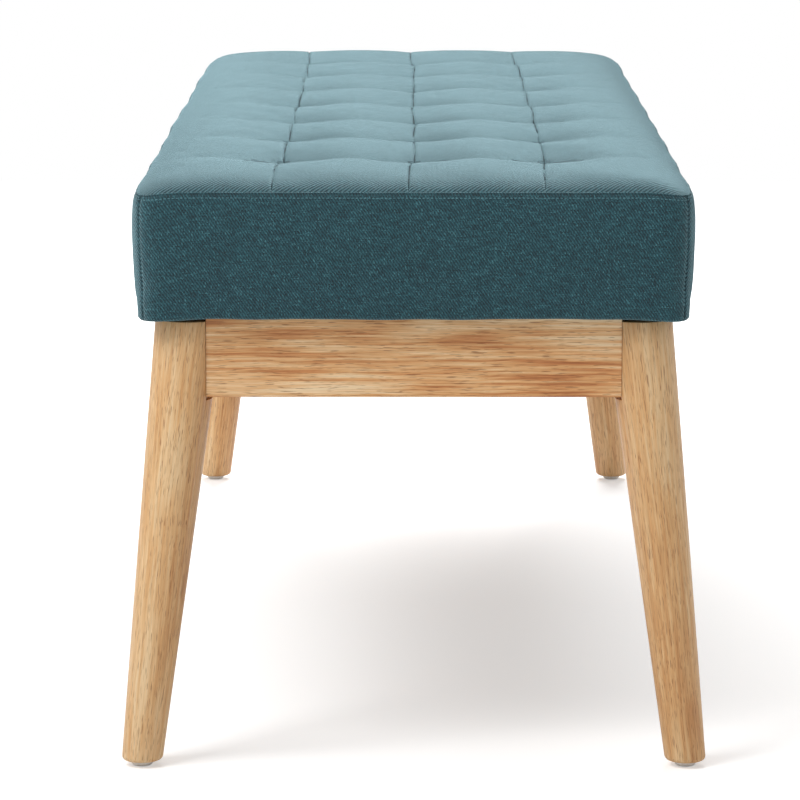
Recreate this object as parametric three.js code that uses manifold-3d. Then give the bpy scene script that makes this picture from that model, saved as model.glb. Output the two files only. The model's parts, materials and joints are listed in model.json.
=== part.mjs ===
// Upholstered bench: a tufted seat cushion on a wooden frame with four splayed, turned legs.
// Millimetres, +X along the bench, +Y across it, +Z up. The origin is on the floor under its middle.
import * as THREE from "three";
import { mergeVertices } from "three/addons/utils/BufferGeometryUtils.js";
import Module from "manifold-3d";

const wasm = await Module();
wasm.setup();

// Driving sizes
const seatLength = 1250; // over the swell of the end panels
const seatWidth = 435; // over the swell of the side panels
const apronTop = 350; // floor to the top edges of the aprons
const cushionHeight = 100; // apron tops to the seam round the top
const apronHeight = 61.5;
const apronThickness = 20;
const fitGap = 0.3; // between pieces that touch

// Cushion
const panelSwell = 7.5; // how far a side panel bows out past the top seam
const cornerRadius = 14; // of the cushion's outline at the top seam
const crownRise = 13.5; // top seam to the crest of a pillow
const edgeRoll = 13.5; // inside the seam, over which the top makes about two thirds of its rise
const seamLine = 5; // first grid line of the top inside its seam
const valleyDip = 3.5; // along a crosswise valley, below the crests on both sides
const valleyWidth = 13; // beside a valley, over which it fades to about a third
const creaseDip = 2; // along a lengthwise seam, between two valleys
const creaseWidth = 12; // beside a lengthwise seam, over which its dip fades to about a third
const tuftDip = 4.5; // of the pinch at a tuft, past the depth of its valley
const pinchLength = 10; // along the bench, over which a pinch fades to about a third
const pinchWidth = 25; // the same across the bench
const clothThickness = 1.8;
const turnUnder = 30; // cloth folded under the board
const hemRadius = 3; // where the cloth rounds the board's lower edge
const tuftRows = 7; // along the bench
const tuftColumns = 3; // across it
const blockShares = [0.1, 0.35, 0.65, 0.9]; // grid lines between two tufts, as shares of their pitch
const fadePower = 1.6; // of the valleys, towards the long sides

// Seat board and what is under it
const boardThickness = 15;
const boardEase = 5; // bevel that keeps the board's lower edge from cutting the cloth
const dustThickness = 0.8;
const dustInset = 14; // from the top seam's outline
const twineRadius = 0.9;
const twineHoleRadius = 2.5;

// Legs
const legTopRadius = 26.6;
const legFootRadius = 16;
const legInset = 16.2; // from the cushion's side to the leg's outer side, at its top
const legDrop = 2.2; // leg tops stand this much below the apron tops
const footEase = 3.5; // bevel round the foot
const shoulderOffset = 13.4; // from the leg's axis, at its top, to the faces that the aprons meet
const ledgeGap = 2.5; // from an apron's lower edge to the floor of the leg's notch
const legChamfer = 12; // flat on the leg's inner corner, under the hanger bolt
const splayShare = 0.11; // sideways run of a leg's axis for each millimetre of its height

// Glides
const glideHeight = 4;
const glideFootRadius = 7;
const glideTopRadius = 10;
const glideNailRadius = 1.2;
const glideNailLength = 14;

// Aprons
const apronRecess = 5.25; // from the leg's outer side, at its top, to the apron's face
const apronEase = 1.5; // bevel on the aprons' lower outer edges

// Corner brackets
const bracketThickness = 2;
const bracketHeight = 42;
const plateReach = 36; // from the frame's inner corner to the bend, along an apron
const wingLength = 24;
const lipDepth = 5; // part of the lip that sits in the apron's saw kerf
const kerfDepth = 7;

// Hanger bolts, washers and wing nuts
const hangerRadius = 4;
const hangerGrip = 28; // length in the leg
const hangerProud = 4; // thread past the nut
const washerRadius = 9;
const washerThickness = 1.6;
const nutHeight = 7;
const nutRadius = 6.5;
const nutCrownRadius = 4.8; // of the nut's outer end
const wingSpan = 17; // from the bolt's axis to a wing's tip
const wingThickness = 3;
const wingHeight = 10;

// Wood screws that hold the brackets
const screwRadius = 1.8;
const screwLength = 14;
const screwHeadRadius = 4;
const screwHeadHeight = 2.4;

// Cross rails, seat bolts and tee nuts
const railWidth = 60;
const railThickness = 22;
const railEndGap = 200; // from an end apron's inner face to the middle of the outer rail
const tenonLength = 8;
const tenonThickness = 12;
const tenonWidth = 50;
const seatBoltSpacing = 160; // between the two bolts of a rail
const seatBoltRadius = 3;
const seatBoltHeadRadius = 6;
const seatBoltHeadHeight = 3.6;
const socketRadius = 2.3;
const socketDepth = 2;
const teeBarrelRadius = 4.8;
const teeBarrelLength = 9;
const teeFlangeRadius = 9.5;
const teeFlangeThickness = 1.5;

// Facets round a turned piece
const legSides = 32;
const hardwareSides = 12;
const twineSides = 6;

// Sizes and places that follow
const seamHalfLength = seatLength / 2 - panelSwell;
const seamHalfWidth = seatWidth / 2 - panelSwell;
const seamHeight = apronTop + cushionHeight;
const tuftPitchX = (2 * seamHalfLength) / (tuftRows + 1);
const tuftPitchY = (2 * seamHalfWidth) / (tuftColumns + 1);
const dustBottom = apronTop + fitGap;
const clothBottom = dustBottom + dustThickness + fitGap;
const boardBottom = clothBottom + clothThickness + fitGap;
const boardTop = boardBottom + boardThickness;
const boardInset = clothThickness + 2 * fitGap;
const legTop = apronTop - legDrop;
const legLength = legTop - glideHeight - fitGap;
const legTopX = seatLength / 2 - legInset - legTopRadius;
const legTopY = seatWidth / 2 - legInset - legTopRadius;
const shoulderX = legTopX - shoulderOffset;
const shoulderY = legTopY - shoulderOffset;
const ledgeHeight = apronTop - apronHeight - ledgeGap;
const apronFaceX = legTopX + legTopRadius - apronRecess;
const apronFaceY = legTopY + legTopRadius - apronRecess;
const frameInnerX = apronFaceX - apronThickness;
const frameInnerY = apronFaceY - apronThickness;
const outerRailX = frameInnerX - railEndGap;
const boltHeight = apronTop - apronHeight / 2;
const wingPlace = fitGap + bracketThickness / 2; // from an apron's inner face to the middle of a wing
const lipPlace = plateReach + wingLength;
const screwPlace = plateReach + wingLength / 2;
const overrun = 2 * legTopRadius; // how far cutting blocks reach past what they cut

// Materials
const cloth = new THREE.MeshStandardMaterial({ color: 0x4f8791, roughness: 0.95, metalness: 0 });
const foam = new THREE.MeshStandardMaterial({ color: 0xe9e2c8, roughness: 1, metalness: 0 });
const plywood = new THREE.MeshStandardMaterial({ color: 0xcfae7c, roughness: 0.8, metalness: 0 });
const blackCloth = new THREE.MeshStandardMaterial({ color: 0x17181a, roughness: 1, metalness: 0 });
const twine = new THREE.MeshStandardMaterial({ color: 0xd8cdb2, roughness: 0.9, metalness: 0 });
const rubberwood = new THREE.MeshStandardMaterial({ color: 0xcfa574, roughness: 0.45, metalness: 0 });
const whitePlastic = new THREE.MeshStandardMaterial({ color: 0xe8e6e2, roughness: 0.4, metalness: 0 });
const zincSteel = new THREE.MeshStandardMaterial({ color: 0xb9bcc0, roughness: 0.35, metalness: 1 });

const bench = new THREE.Group();

// Turns a closed three.js geometry into a solid that can be joined and cut.
function solid(geometry) {
  const bare = geometry.clone();
  bare.deleteAttribute("normal");
  bare.deleteAttribute("uv");
  const merged = mergeVertices(bare);
  return new wasm.Manifold(
    new wasm.Mesh({
      numProp: 3,
      vertProperties: merged.attributes.position.array,
      triVerts: new Uint32Array(merged.index.array),
    }),
  );
}

// Turns a solid back into a three.js geometry.
function geometryOf(body) {
  const made = body.getMesh();
  const indexed = new THREE.BufferGeometry();
  indexed.setAttribute("position", new THREE.BufferAttribute(made.vertProperties, 3));
  indexed.setIndex(new THREE.BufferAttribute(made.triVerts, 1));
  const geometry = indexed.toNonIndexed();
  geometry.computeVertexNormals();
  return geometry;
}

// Adds a named piece to a group.
function addPiece(group, name, geometry, material) {
  const piece = new THREE.Mesh(geometry, material);
  piece.name = name;
  group.add(piece);
  return piece;
}

// A block between two corners.
function block(low, high) {
  const geometry = new THREE.BoxGeometry(high[0] - low[0], high[1] - low[1], high[2] - low[2]);
  return geometry.translate((low[0] + high[0]) / 2, (low[1] + high[1]) / 2, (low[2] + high[2]) / 2);
}

// A turned shape about +Z, from radius and height pairs that start and end on the axis.
function turned(profile, sides) {
  const points = profile.map(([radius, height]) => new THREE.Vector2(radius, height));
  return new THREE.LatheGeometry(points, sides).rotateX(Math.PI / 2);
}

// A straight round rod along +Z, between two heights.
function rod(radius, low, high, sides) {
  return turned([[0, low], [radius, low], [radius, high], [0, high]], sides);
}

// A closed geometry from its corners and triangles.
function closedMesh(points, triangles) {
  const places = points.flatMap((p) => [p.x, p.y, p.z]);
  const geometry = new THREE.BufferGeometry();
  geometry.setAttribute("position", new THREE.Float32BufferAttribute(places, 3));
  geometry.setIndex(triangles);
  return geometry;
}

// The cells of a grid of points, each as four indices. A cell's diagonal runs between its first and third,
// and mirrors at the grid's middle lines, so that all four quarters look alike.
function cellsOf(rows, columns) {
  const cells = [];
  for (let i = 0; i < rows - 1; i++) {
    for (let j = 0; j < columns - 1; j++) {
      const a = i * columns + j;
      const b = a + columns;
      const swapped = i < (rows - 1) / 2 !== j < (columns - 1) / 2;
      cells.push(swapped ? [b, b + 1, a + 1, a] : [a, b, b + 1, a + 1]);
    }
  }
  return cells;
}

// A sheet with thickness, from two grids of points, the first one on the side that its cells face.
function sheet(front, back) {
  const rows = front.length;
  const columns = front[0].length;
  const points = [...front.flat(), ...back.flat()];
  const under = rows * columns;
  const triangles = [];
  for (const [a, b, c, d] of cellsOf(rows, columns)) {
    triangles.push(a, b, c, a, c, d);
    triangles.push(under + a, under + c, under + b, under + a, under + d, under + c);
  }
  const rim = rimOf(rows, columns);
  rim.forEach((a, k) => {
    const b = rim[(k + 1) % rim.length];
    triangles.push(a, under + a, under + b, a, under + b, b);
  });
  return closedMesh(points, triangles);
}

// Indices round the edge of a grid, in the turning sense of its cells.
function rimOf(rows, columns) {
  const rim = [];
  for (let i = 0; i < rows - 1; i++) rim.push(i * columns);
  for (let j = 0; j < columns - 1; j++) rim.push((rows - 1) * columns + j);
  for (let i = rows - 1; i > 0; i--) rim.push(i * columns + columns - 1);
  for (let j = columns - 1; j > 0; j--) rim.push(j);
  return rim;
}

// A solid under a grid: its rim goes down through the rings, and the last ring is closed flat.
function solidUnderGrid(grid, rings) {
  const rows = grid.length;
  const columns = grid[0].length;
  const points = grid.flat();
  const triangles = cellsOf(rows, columns).flatMap(([a, b, c, d]) => [a, b, c, a, c, d]);
  let upper = rimOf(rows, columns);
  for (const ring of rings) {
    const lower = ring.map((p) => points.push(p) - 1);
    upper.forEach((a, k) => {
      const next = (k + 1) % upper.length;
      triangles.push(a, lower[k], lower[next], a, lower[next], upper[next]);
    });
    upper = lower;
  }
  const middle = points.push(new THREE.Vector3(0, 0, points[upper[0]].z)) - 1;
  upper.forEach((a, k) => triangles.push(a, middle, upper[(k + 1) % upper.length]));
  return closedMesh(points, triangles);
}

// Rounds the corners of the cushion's outline: a point of the full rectangle moves onto the rounded one,
// and a point outside the seam by `swell` keeps its place along the outline.
function onOutline(x, y, swell = 0) {
  const coreX = seamHalfLength - cornerRadius;
  const coreY = seamHalfWidth - cornerRadius;
  const a = Math.max(0, Math.abs(x) - coreX) / cornerRadius;
  const b = Math.max(0, Math.abs(y) - coreY) / cornerRadius;
  const grown = (cornerRadius + swell) / cornerRadius;
  const dx = a * Math.sqrt(1 - (b * b) / 2) * cornerRadius * grown;
  const dy = b * Math.sqrt(1 - (a * a) / 2) * cornerRadius * grown;
  return [
    Math.sign(x) * (Math.min(Math.abs(x), coreX) + dx),
    Math.sign(y) * (Math.min(Math.abs(y), coreY) + dy),
  ];
}

// Rise of the top inside one pair of seams, as a share of the crown: steep at the seam, then flat.
function rollShare(inside) {
  return 1 - Math.exp(-Math.max(0, inside) / edgeRoll);
}

// Offset from a place to the nearest tuft of a row or column.
function fromTuft(place, pitch, tufts) {
  const last = ((tufts - 1) / 2) * pitch;
  const nearest = Math.round((place + last) / pitch) * pitch - last;
  return place - Math.min(last, Math.max(-last, nearest));
}

// Height of the tufted top over a point: it rolls up from the seams, and dips at the tufts and between them.
function topHeight(x, y) {
  const rolls = [rollShare(seamHalfLength - Math.abs(x)), rollShare(seamHalfWidth - Math.abs(y))];
  const dx = fromTuft(x, tuftPitchX, tuftRows);
  const dy = fromTuft(y, tuftPitchY, tuftColumns);
  // Columns are counted from zero, and valleys fade out between the outer ones and the long sides.
  const column = (y + seamHalfWidth) / tuftPitchY - 1;
  const fade = Math.min(1, Math.max(0, Math.min(column + 1, tuftColumns - column))) ** fadePower;
  const valley = fade * Math.exp(-Math.abs(dx) / valleyWidth);
  const crease = (1 - valley) * Math.exp(-Math.abs(dy) / creaseWidth);
  const pinch = Math.exp(-Math.hypot(dx / pinchLength, dy / pinchWidth));
  const dip = valleyDip * valley + creaseDip * crease + tuftDip * pinch;
  return seamHeight + crownRise * rolls[0] * rolls[1] - dip * Math.min(...rolls) ** 2;
}

// Grid lines across the top in one direction: close to both seams, at each tuft and between tufts.
function topLines(half, pitch, tufts) {
  const edgeLines = [0, seamLine, cornerRadius].map((inside) => half - inside);
  const lines = edgeLines.flatMap((line) => [-line, line]);
  for (let k = 0; k <= tufts; k++) {
    const start = -half + k * pitch;
    if (k > 0) lines.push(start);
    for (const share of blockShares) lines.push(start + share * pitch);
  }
  return lines.sort((a, b) => a - b);
}

const topLinesX = topLines(seamHalfLength, tuftPitchX, tuftRows);
const topLinesY = topLines(seamHalfWidth, tuftPitchY, tuftColumns);

// The top's grid of points, lowered by `drop`, with its rim drawn in by `inset`.
function topGrid(drop, inset) {
  return topLinesX.map((x) =>
    topLinesY.map((y) => {
      const onRim = Math.abs(x) === seamHalfLength || Math.abs(y) === seamHalfWidth;
      const [px, py] = onOutline(x, y, onRim ? -inset : 0);
      return new THREE.Vector3(px, py, topHeight(x, y) - drop);
    }),
  );
}

// Shares of the side's height, from the top seam down, and of the swell there
const sideShares = [[0, 0], [0.1, 0.6], [0.35, 1], [0.75, 0.6]];
// Swell near a corner, as a share of the swell in the middle of a panel
const cornerSwellShare = 0.9;
// Swell where the hem's rounding starts
const hemSwellShare = 0.25;
// Places along a panel, as shares of the straight run on each side of its middle
const panelShares = [1, 0.85, 0.5, 0, -0.5, -0.85, -1];
// Turns round a corner as far as the corner seam, as shares of the half corner
const turnShares = [1, 0.5];

const sideTop = seamHeight - clothThickness - fitGap;

// One place on a side panel that runs along X at +Y. `out` is its distance outside the seam.
function panelPoint(halfRun, halfDepth, station, out, height) {
  const radius = Math.max(cornerRadius + out, fitGap);
  const coreRun = halfRun + out - radius;
  const coreDepth = halfDepth + out - radius;
  const angle = station.turn * (Math.PI / 4);
  const x = station.share * coreRun + radius * Math.sin(angle);
  // The panel ends just short of the corner seam.
  const gap = Math.abs(station.turn) === 1 ? Math.sign(station.turn) * fitGap : 0;
  return new THREE.Vector3(x - gap, coreDepth + radius * Math.cos(angle), height);
}

// A side panel of the cover: it bows out, rounds the board's lower edge and is folded under it.
function boxingPanel(halfRun, halfDepth) {
  const stations = [
    ...turnShares.map((turn) => ({ share: 1, turn })),
    ...panelShares.map((share) => ({ share, turn: 0 })),
    ...turnShares.toReversed().map((turn) => ({ share: -1, turn: -turn })),
  ];
  const drop = sideTop - clothBottom;
  const row = (out, height, swell) =>
    stations.map((station) => {
      const middle = 1 - station.share * station.share;
      const swollen = swell * panelSwell * (cornerSwellShare + (1 - cornerSwellShare) * middle);
      return panelPoint(halfRun, halfDepth, station, out + swollen, height);
    });
  const outside = [
    ...sideShares.map(([down, swell]) => row(0, sideTop - down * drop, swell)),
    row(0, clothBottom + hemRadius, hemSwellShare),
    row(-hemRadius, clothBottom, hemSwellShare),
    row(-turnUnder, clothBottom, 0),
  ];
  const inside = [
    ...sideShares.map(([down, swell]) => row(-clothThickness, sideTop - down * drop, swell)),
    row(-clothThickness, clothBottom + hemRadius, hemSwellShare),
    row(-hemRadius, clothBottom + clothThickness, hemSwellShare),
    row(-turnUnder, clothBottom + clothThickness, 0),
  ];
  return sheet(outside, inside);
}

// The cloth top, sewn to four side panels.
function addCover() {
  const top = sheet(topGrid(0, 0), topGrid(clothThickness, 0));
  addPiece(bench, "cover_top", top, cloth);
  const long = boxingPanel(seamHalfLength, seamHalfWidth);
  const short = boxingPanel(seamHalfWidth, seamHalfLength);
  addPiece(bench, "cover_side_back", long, cloth);
  addPiece(bench, "cover_side_front", long, cloth).rotation.z = Math.PI;
  addPiece(bench, "cover_end_left", short, cloth).rotation.z = Math.PI / 2;
  addPiece(bench, "cover_end_right", short, cloth).rotation.z = -Math.PI / 2;
}

// Places of the tufts across the bench and along it
function tuftPlaces(count, pitch) {
  return Array.from({ length: count }, (_, k) => (k - (count - 1) / 2) * pitch);
}

const tuftXs = tuftPlaces(tuftRows, tuftPitchX);
const tuftYs = tuftPlaces(tuftColumns, tuftPitchY);

// Cuts a hole for the twine at each tuft.
function withTwineHoles(body, low, high) {
  const hole = solid(rod(twineHoleRadius, low, high, twineSides));
  let cut = body;
  for (const x of tuftXs) {
    for (const y of tuftYs) cut = cut.subtract(hole.translate(x, y, 0));
  }
  return cut;
}

// A foam block that fills the cover and takes its tufted form.
function addFoam() {
  const inset = clothThickness + 2 * fitGap;
  const grid = topGrid(clothThickness + fitGap, inset);
  const rim = rimOf(grid.length, grid[0].length).map((k) => [
    topLinesX[Math.floor(k / topLinesY.length)],
    topLinesY[k % topLinesY.length],
  ]);
  const bottom = boardTop + fitGap;
  const drop = sideTop - clothBottom;
  const ring = (swell, height) =>
    rim.map(([x, y]) => {
      const [px, py] = onOutline(x, y, swell * panelSwell * cornerSwellShare - inset);
      return new THREE.Vector3(px, py, height);
    });
  const rings = sideShares
    .slice(1)
    .map(([down, swell]) => ring(swell, sideTop - down * drop))
    .filter((points) => points[0].z > bottom);
  const pad = solid(solidUnderGrid(grid, [...rings, ring(0, bottom)]));
  const drilled = withTwineHoles(pad, bottom - overrun, seamHeight + overrun);
  addPiece(bench, "foam_pad", geometryOf(drilled), foam);
}

// Where the seat bolts go: two in each outer rail
const seatBoltPlaces = [-1, 1].flatMap((x) =>
  [-1, 1].map((y) => ({
    x: x * outerRailX,
    y: (y * seatBoltSpacing) / 2,
    name: (y < 0 ? "front" : "back") + (x < 0 ? "_left" : "_right"),
  })),
);

// A plain outline of the seat, inset from the top seam, as a three.js shape.
function seatOutline(inset) {
  const x = seamHalfLength - inset;
  const y = seamHalfWidth - inset;
  const radius = Math.max(cornerRadius - inset, fitGap);
  const outline = new THREE.Shape();
  outline.moveTo(-x + radius, -y);
  outline.absarc(x - radius, -y + radius, radius, -Math.PI / 2, 0, false);
  outline.absarc(x - radius, y - radius, radius, 0, Math.PI / 2, false);
  outline.absarc(-x + radius, y - radius, radius, Math.PI / 2, Math.PI, false);
  outline.absarc(-x + radius, -y + radius, radius, Math.PI, (3 * Math.PI) / 2, false);
  return outline;
}

// A flat plate of that outline, between two heights, with its lower edge bevelled.
function seatPlate(inset, low, high, ease) {
  const bevel = { bevelEnabled: ease > 0, bevelThickness: ease, bevelSize: ease, bevelSegments: 1 };
  const plate = new THREE.ExtrudeGeometry(seatOutline(inset + ease), {
    depth: high - low - ease,
    curveSegments: 2,
    ...bevel,
  });
  const body = solid(plate.translate(0, 0, low + ease));
  return body.intersect(
    solid(block([-seatLength, -seatWidth, low - overrun], [seatLength, seatWidth, high])),
  );
}

// The plywood board, drilled for the twine and counterbored for the tee nuts.
function addBoard() {
  let board = seatPlate(boardInset, boardBottom, boardTop, boardEase);
  board = withTwineHoles(board, boardBottom - overrun, boardTop + overrun);
  const seat = turned(
    [
      [0, boardBottom - overrun],
      [teeBarrelRadius + fitGap, boardBottom - overrun],
      [teeBarrelRadius + fitGap, boardTop - teeFlangeThickness - fitGap],
      [teeFlangeRadius + fitGap, boardTop - teeFlangeThickness - fitGap],
      [teeFlangeRadius + fitGap, boardTop + overrun],
      [0, boardTop + overrun],
    ],
    hardwareSides,
  );
  for (const { x, y } of seatBoltPlaces) board = board.subtract(solid(seat).translate(x, y, 0));
  addPiece(bench, "seat_board", geometryOf(board), plywood);
}

// The thin black cloth that closes the underside, holed for the seat bolts.
function addDustCover() {
  let dust = seatPlate(dustInset, dustBottom, dustBottom + dustThickness, 0);
  const hole = solid(rod(seatBoltRadius + fitGap, dustBottom - overrun, dustBottom + overrun, hardwareSides));
  for (const { x, y } of seatBoltPlaces) dust = dust.subtract(hole.translate(x, y, 0));
  addPiece(bench, "dust_cover", geometryOf(dust), blackCloth);
}

// Twines that draw the tufts down: each is laced under the board and up to every tuft of its column.
function addTwines() {
  const runHeight = boardBottom - fitGap - twineRadius;
  const run = solid(
    rod(twineRadius, tuftXs[0] - twineRadius, tuftXs.at(-1) + twineRadius, twineSides).rotateY(Math.PI / 2),
  );
  const names = ["front", "middle", "back"];
  tuftYs.forEach((y, column) => {
    let laced = run.translate(0, 0, runHeight);
    for (const x of tuftXs) {
      const rise = topHeight(x, y) - clothThickness - fitGap;
      laced = laced.add(solid(rod(twineRadius, runHeight, rise, twineSides)).translate(x, 0, 0));
    }
    const name = "tuft_twine_" + (names[column] ?? column);
    addPiece(bench, name, geometryOf(laced), twine).position.y = y;
  });
}

// A leg, modelled at the back right corner: a turned taper, splayed both ways, with a notch for two aprons.
function legBody() {
  const taper = turned(
    [
      [0, 0],
      [legFootRadius - footEase, 0],
      [legFootRadius, footEase],
      [legTopRadius, legLength],
      [0, legLength],
    ],
    legSides,
  );
  taper.applyMatrix4(new THREE.Matrix4().makeShear(0, 0, 0, 0, -splayShare, -splayShare));
  const lean = splayShare * legLength;
  taper.translate(legTopX + lean, legTopY + lean, legTop - legLength);
  const notchTop = legTop + overrun;
  const besideX = [shoulderX - overrun, legTopY - overrun, ledgeHeight];
  const besideY = [legTopX - overrun, shoulderY - overrun, ledgeHeight];
  return solid(taper)
    .subtract(solid(block(besideX, [shoulderX, legTopY + overrun, notchTop])))
    .subtract(solid(block(besideY, [legTopX + overrun, shoulderY, notchTop])))
    .subtract(legFlat())
    .subtract(hangerHole())
    .subtract(glideHole());
}

// What the flat on the leg's inner corner takes away, above the ledge.
function legFlat() {
  const reach = legChamfer / Math.SQRT2;
  const wedge = block([-overrun, -overrun, ledgeHeight], [reach, overrun, legTop + overrun]);
  return solid(wedge.rotateZ(Math.PI / 4).translate(shoulderX, shoulderY, 0));
}

// From the frame's inner corner back to the flat on the leg, along the diagonal
const flatPlace = (frameInnerX - shoulderX) * Math.SQRT2 - legChamfer / Math.SQRT2;
// From the frame's inner corner back to the bracket's face towards the leg, along the diagonal
const platePlace = (plateReach + wingPlace) / Math.SQRT2 - bracketThickness / 2;

// Moves a geometry that was made along +Z, towards the leg, to the hanger bolt's axis.
function alongHanger(geometry) {
  geometry.rotateY(Math.PI / 2).rotateZ(Math.PI / 4);
  return geometry.translate(frameInnerX, frameInnerY, boltHeight);
}

function hangerHole() {
  const deep = hangerGrip + fitGap - flatPlace;
  return solid(alongHanger(rod(hangerRadius + fitGap, -overrun, deep, hardwareSides)));
}

// The foot's middle, where the leg's axis meets its lower end
const footX = legTopX + splayShare * legLength;
const footY = legTopY + splayShare * legLength;

function glideHole() {
  const top = glideHeight + glideNailLength + fitGap;
  const hole = rod(glideNailRadius + fitGap, 0, top, hardwareSides);
  return solid(hole.translate(footX, footY, 0));
}

// A nailed glide: a plastic button that stands on the floor, with its nail in the leg.
function glideGeometry() {
  const profile = [
    [0, 0],
    [glideFootRadius, 0],
    [glideTopRadius, glideHeight],
    [glideNailRadius, glideHeight],
    [glideNailRadius, glideHeight + glideNailLength - glideNailRadius],
    [0, glideHeight + glideNailLength],
  ];
  return turned(profile, hardwareSides).translate(footX, footY, 0);
}

// A bent strip of sheet metal, from the middle line of its plan, closed and extruded upwards.
function bentStrip(line, thickness, height) {
  const side = (sign) =>
    line.map((point, k) => {
      const before = line[Math.max(k - 1, 0)];
      const after = line[Math.min(k + 1, line.length - 1)];
      const into = point.clone().sub(before).normalize();
      const out = after.clone().sub(point).normalize();
      const along = into.add(out).normalize();
      const step = k > 0 && k < line.length - 1 ? after.clone().sub(point).normalize().dot(along) : 1;
      const across = new THREE.Vector2(-along.y, along.x);
      return point.clone().addScaledVector(across, (sign * thickness) / 2 / step);
    });
  const outline = new THREE.Shape([...side(1), ...side(-1).reverse()]);
  return new THREE.ExtrudeGeometry(outline, { depth: height, bevelEnabled: false });
}

// A steel bracket across the frame's inner corner, with its lips in the aprons' kerfs.
function bracketGeometry() {
  const line = [
    [lipDepth, -lipPlace],
    [-wingPlace, -lipPlace],
    [-wingPlace, -plateReach],
    [-plateReach, -wingPlace],
    [-lipPlace, -wingPlace],
    [-lipPlace, lipDepth],
  ].map(([x, y]) => new THREE.Vector2(x, y));
  const strip = bentStrip(line, bracketThickness, bracketHeight);
  strip.translate(frameInnerX, frameInnerY, boltHeight - bracketHeight / 2);
  const boltHole = rod(hangerRadius + fitGap, -overrun, 0, hardwareSides);
  let body = solid(strip).subtract(solid(alongHanger(boltHole)));
  for (const place of [intoEndApron, intoSideApron]) {
    const hole = rod(screwRadius + fitGap, -overrun / 2, overrun / 2, hardwareSides);
    body = body.subtract(solid(place(hole)));
  }
  return geometryOf(body);
}

// Moves a geometry that was made along +Z to a bracket screw's place, pointing into an apron.
function intoEndApron(geometry) {
  geometry.rotateY(Math.PI / 2);
  return geometry.translate(frameInnerX, frameInnerY - screwPlace, boltHeight);
}

function intoSideApron(geometry) {
  geometry.rotateX(-Math.PI / 2);
  return geometry.translate(frameInnerX - screwPlace, frameInnerY, boltHeight);
}

// A pan-head wood screw along +Z, with its head on a bracket wing that lies at zero.
function bracketScrew() {
  const seat = -(2 * fitGap + bracketThickness);
  const profile = [
    [0, seat - screwHeadHeight],
    [screwHeadRadius / 2, seat - screwHeadHeight],
    [screwHeadRadius, seat - screwHeadHeight / 2],
    [screwHeadRadius, seat],
    [screwRadius, seat],
    [screwRadius, seat + screwLength - screwRadius],
    [0, seat + screwLength],
  ];
  return turned(profile, hardwareSides);
}

function screwHole() {
  const deep = screwLength - bracketThickness;
  return rod(screwRadius + fitGap, -overrun, deep, hardwareSides);
}

// Where washer, nut and bolt end, back along the diagonal from the frame's inner corner
const washerFace = -(platePlace + bracketThickness + fitGap);
const nutFace = washerFace - washerThickness - fitGap;

function hangerBolt() {
  const tail = nutFace - nutHeight - hangerProud;
  const tip = hangerGrip - flatPlace;
  const profile = [
    [0, tail],
    [hangerRadius, tail],
    [hangerRadius, tip - hangerRadius],
    [0, tip],
  ];
  return alongHanger(turned(profile, hardwareSides));
}

function washer() {
  const ring = solid(rod(washerRadius, washerFace - washerThickness, washerFace, hardwareSides));
  const bore = solid(rod(hangerRadius + fitGap, -overrun, overrun, hardwareSides));
  return alongHanger(geometryOf(ring.subtract(bore)));
}

// A wing nut with two upright wings.
function wingNut() {
  const hub = solid(
    turned(
      [
        [0, nutFace - nutHeight],
        [nutCrownRadius, nutFace - nutHeight],
        [nutRadius, nutFace],
        [0, nutFace],
      ],
      hardwareSides,
    ),
  );
  const wing = new THREE.Shape();
  wing.moveTo(0, nutFace);
  wing.lineTo(nutRadius, nutFace);
  wing.lineTo(wingSpan, nutFace - wingHeight / 2);
  wing.lineTo(wingSpan, nutFace - wingHeight);
  wing.lineTo(wingSpan - wingThickness, nutFace - wingHeight - wingThickness / 2);
  wing.lineTo(0, nutFace - nutHeight);
  const plate = new THREE.ExtrudeGeometry(wing, { depth: wingThickness, bevelEnabled: false });
  plate.translate(0, 0, -wingThickness / 2).rotateX(Math.PI / 2);
  const right = solid(plate);
  const bore = solid(rod(hangerRadius + fitGap, -overrun, overrun, hardwareSides));
  return alongHanger(geometryOf(hub.add(right).add(right.rotate([0, 0, 180])).subtract(bore)));
}

// Adds what each corner holds. The other three corners mirror the back right one.
function addCorners() {
  const pieces = [
    ["leg", geometryOf(legBody()), rubberwood],
    ["glide", glideGeometry(), whitePlastic],
    ["corner_bracket", bracketGeometry(), zincSteel],
    ["hanger_bolt", hangerBolt(), zincSteel],
    ["washer", washer(), zincSteel],
    ["wing_nut", wingNut(), zincSteel],
    ["bracket_screw_end", intoEndApron(bracketScrew()), zincSteel],
    ["bracket_screw_side", intoSideApron(bracketScrew()), zincSteel],
  ];
  for (const x of [-1, 1]) {
    for (const y of [-1, 1]) {
      const corner = new THREE.Group();
      corner.scale.set(x, y, 1);
      const where = (y < 0 ? "_front" : "_back") + (x < 0 ? "_left" : "_right");
      for (const [name, geometry, material] of pieces) addPiece(corner, name + where, geometry, material);
      bench.add(corner);
    }
  }
}

// Screw holes and kerfs that all four corners leave in an apron
function withCornerCuts(apron, cuts) {
  let body = apron;
  for (const cut of cuts) {
    const corner = solid(cut);
    for (const x of [-1, 1]) {
      for (const y of [-1, 1]) body = body.subtract(mirrored(corner, x, y));
    }
  }
  return body;
}

// A solid mirrored over the bench's middle planes, where a sign is negative.
function mirrored(body, x, y) {
  const inX = x < 0 ? body.mirror([1, 0, 0]) : body;
  return y < 0 ? inX.mirror([0, 1, 0]) : inX;
}

// Section of an apron, with its lower outer edge eased, drawn with its thickness along +X.
function apronSection() {
  const section = new THREE.Shape();
  section.moveTo(0, 0);
  section.lineTo(apronThickness - apronEase, 0);
  section.lineTo(apronThickness, apronEase);
  section.lineTo(apronThickness, apronHeight);
  section.lineTo(0, apronHeight);
  return section;
}

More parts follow.
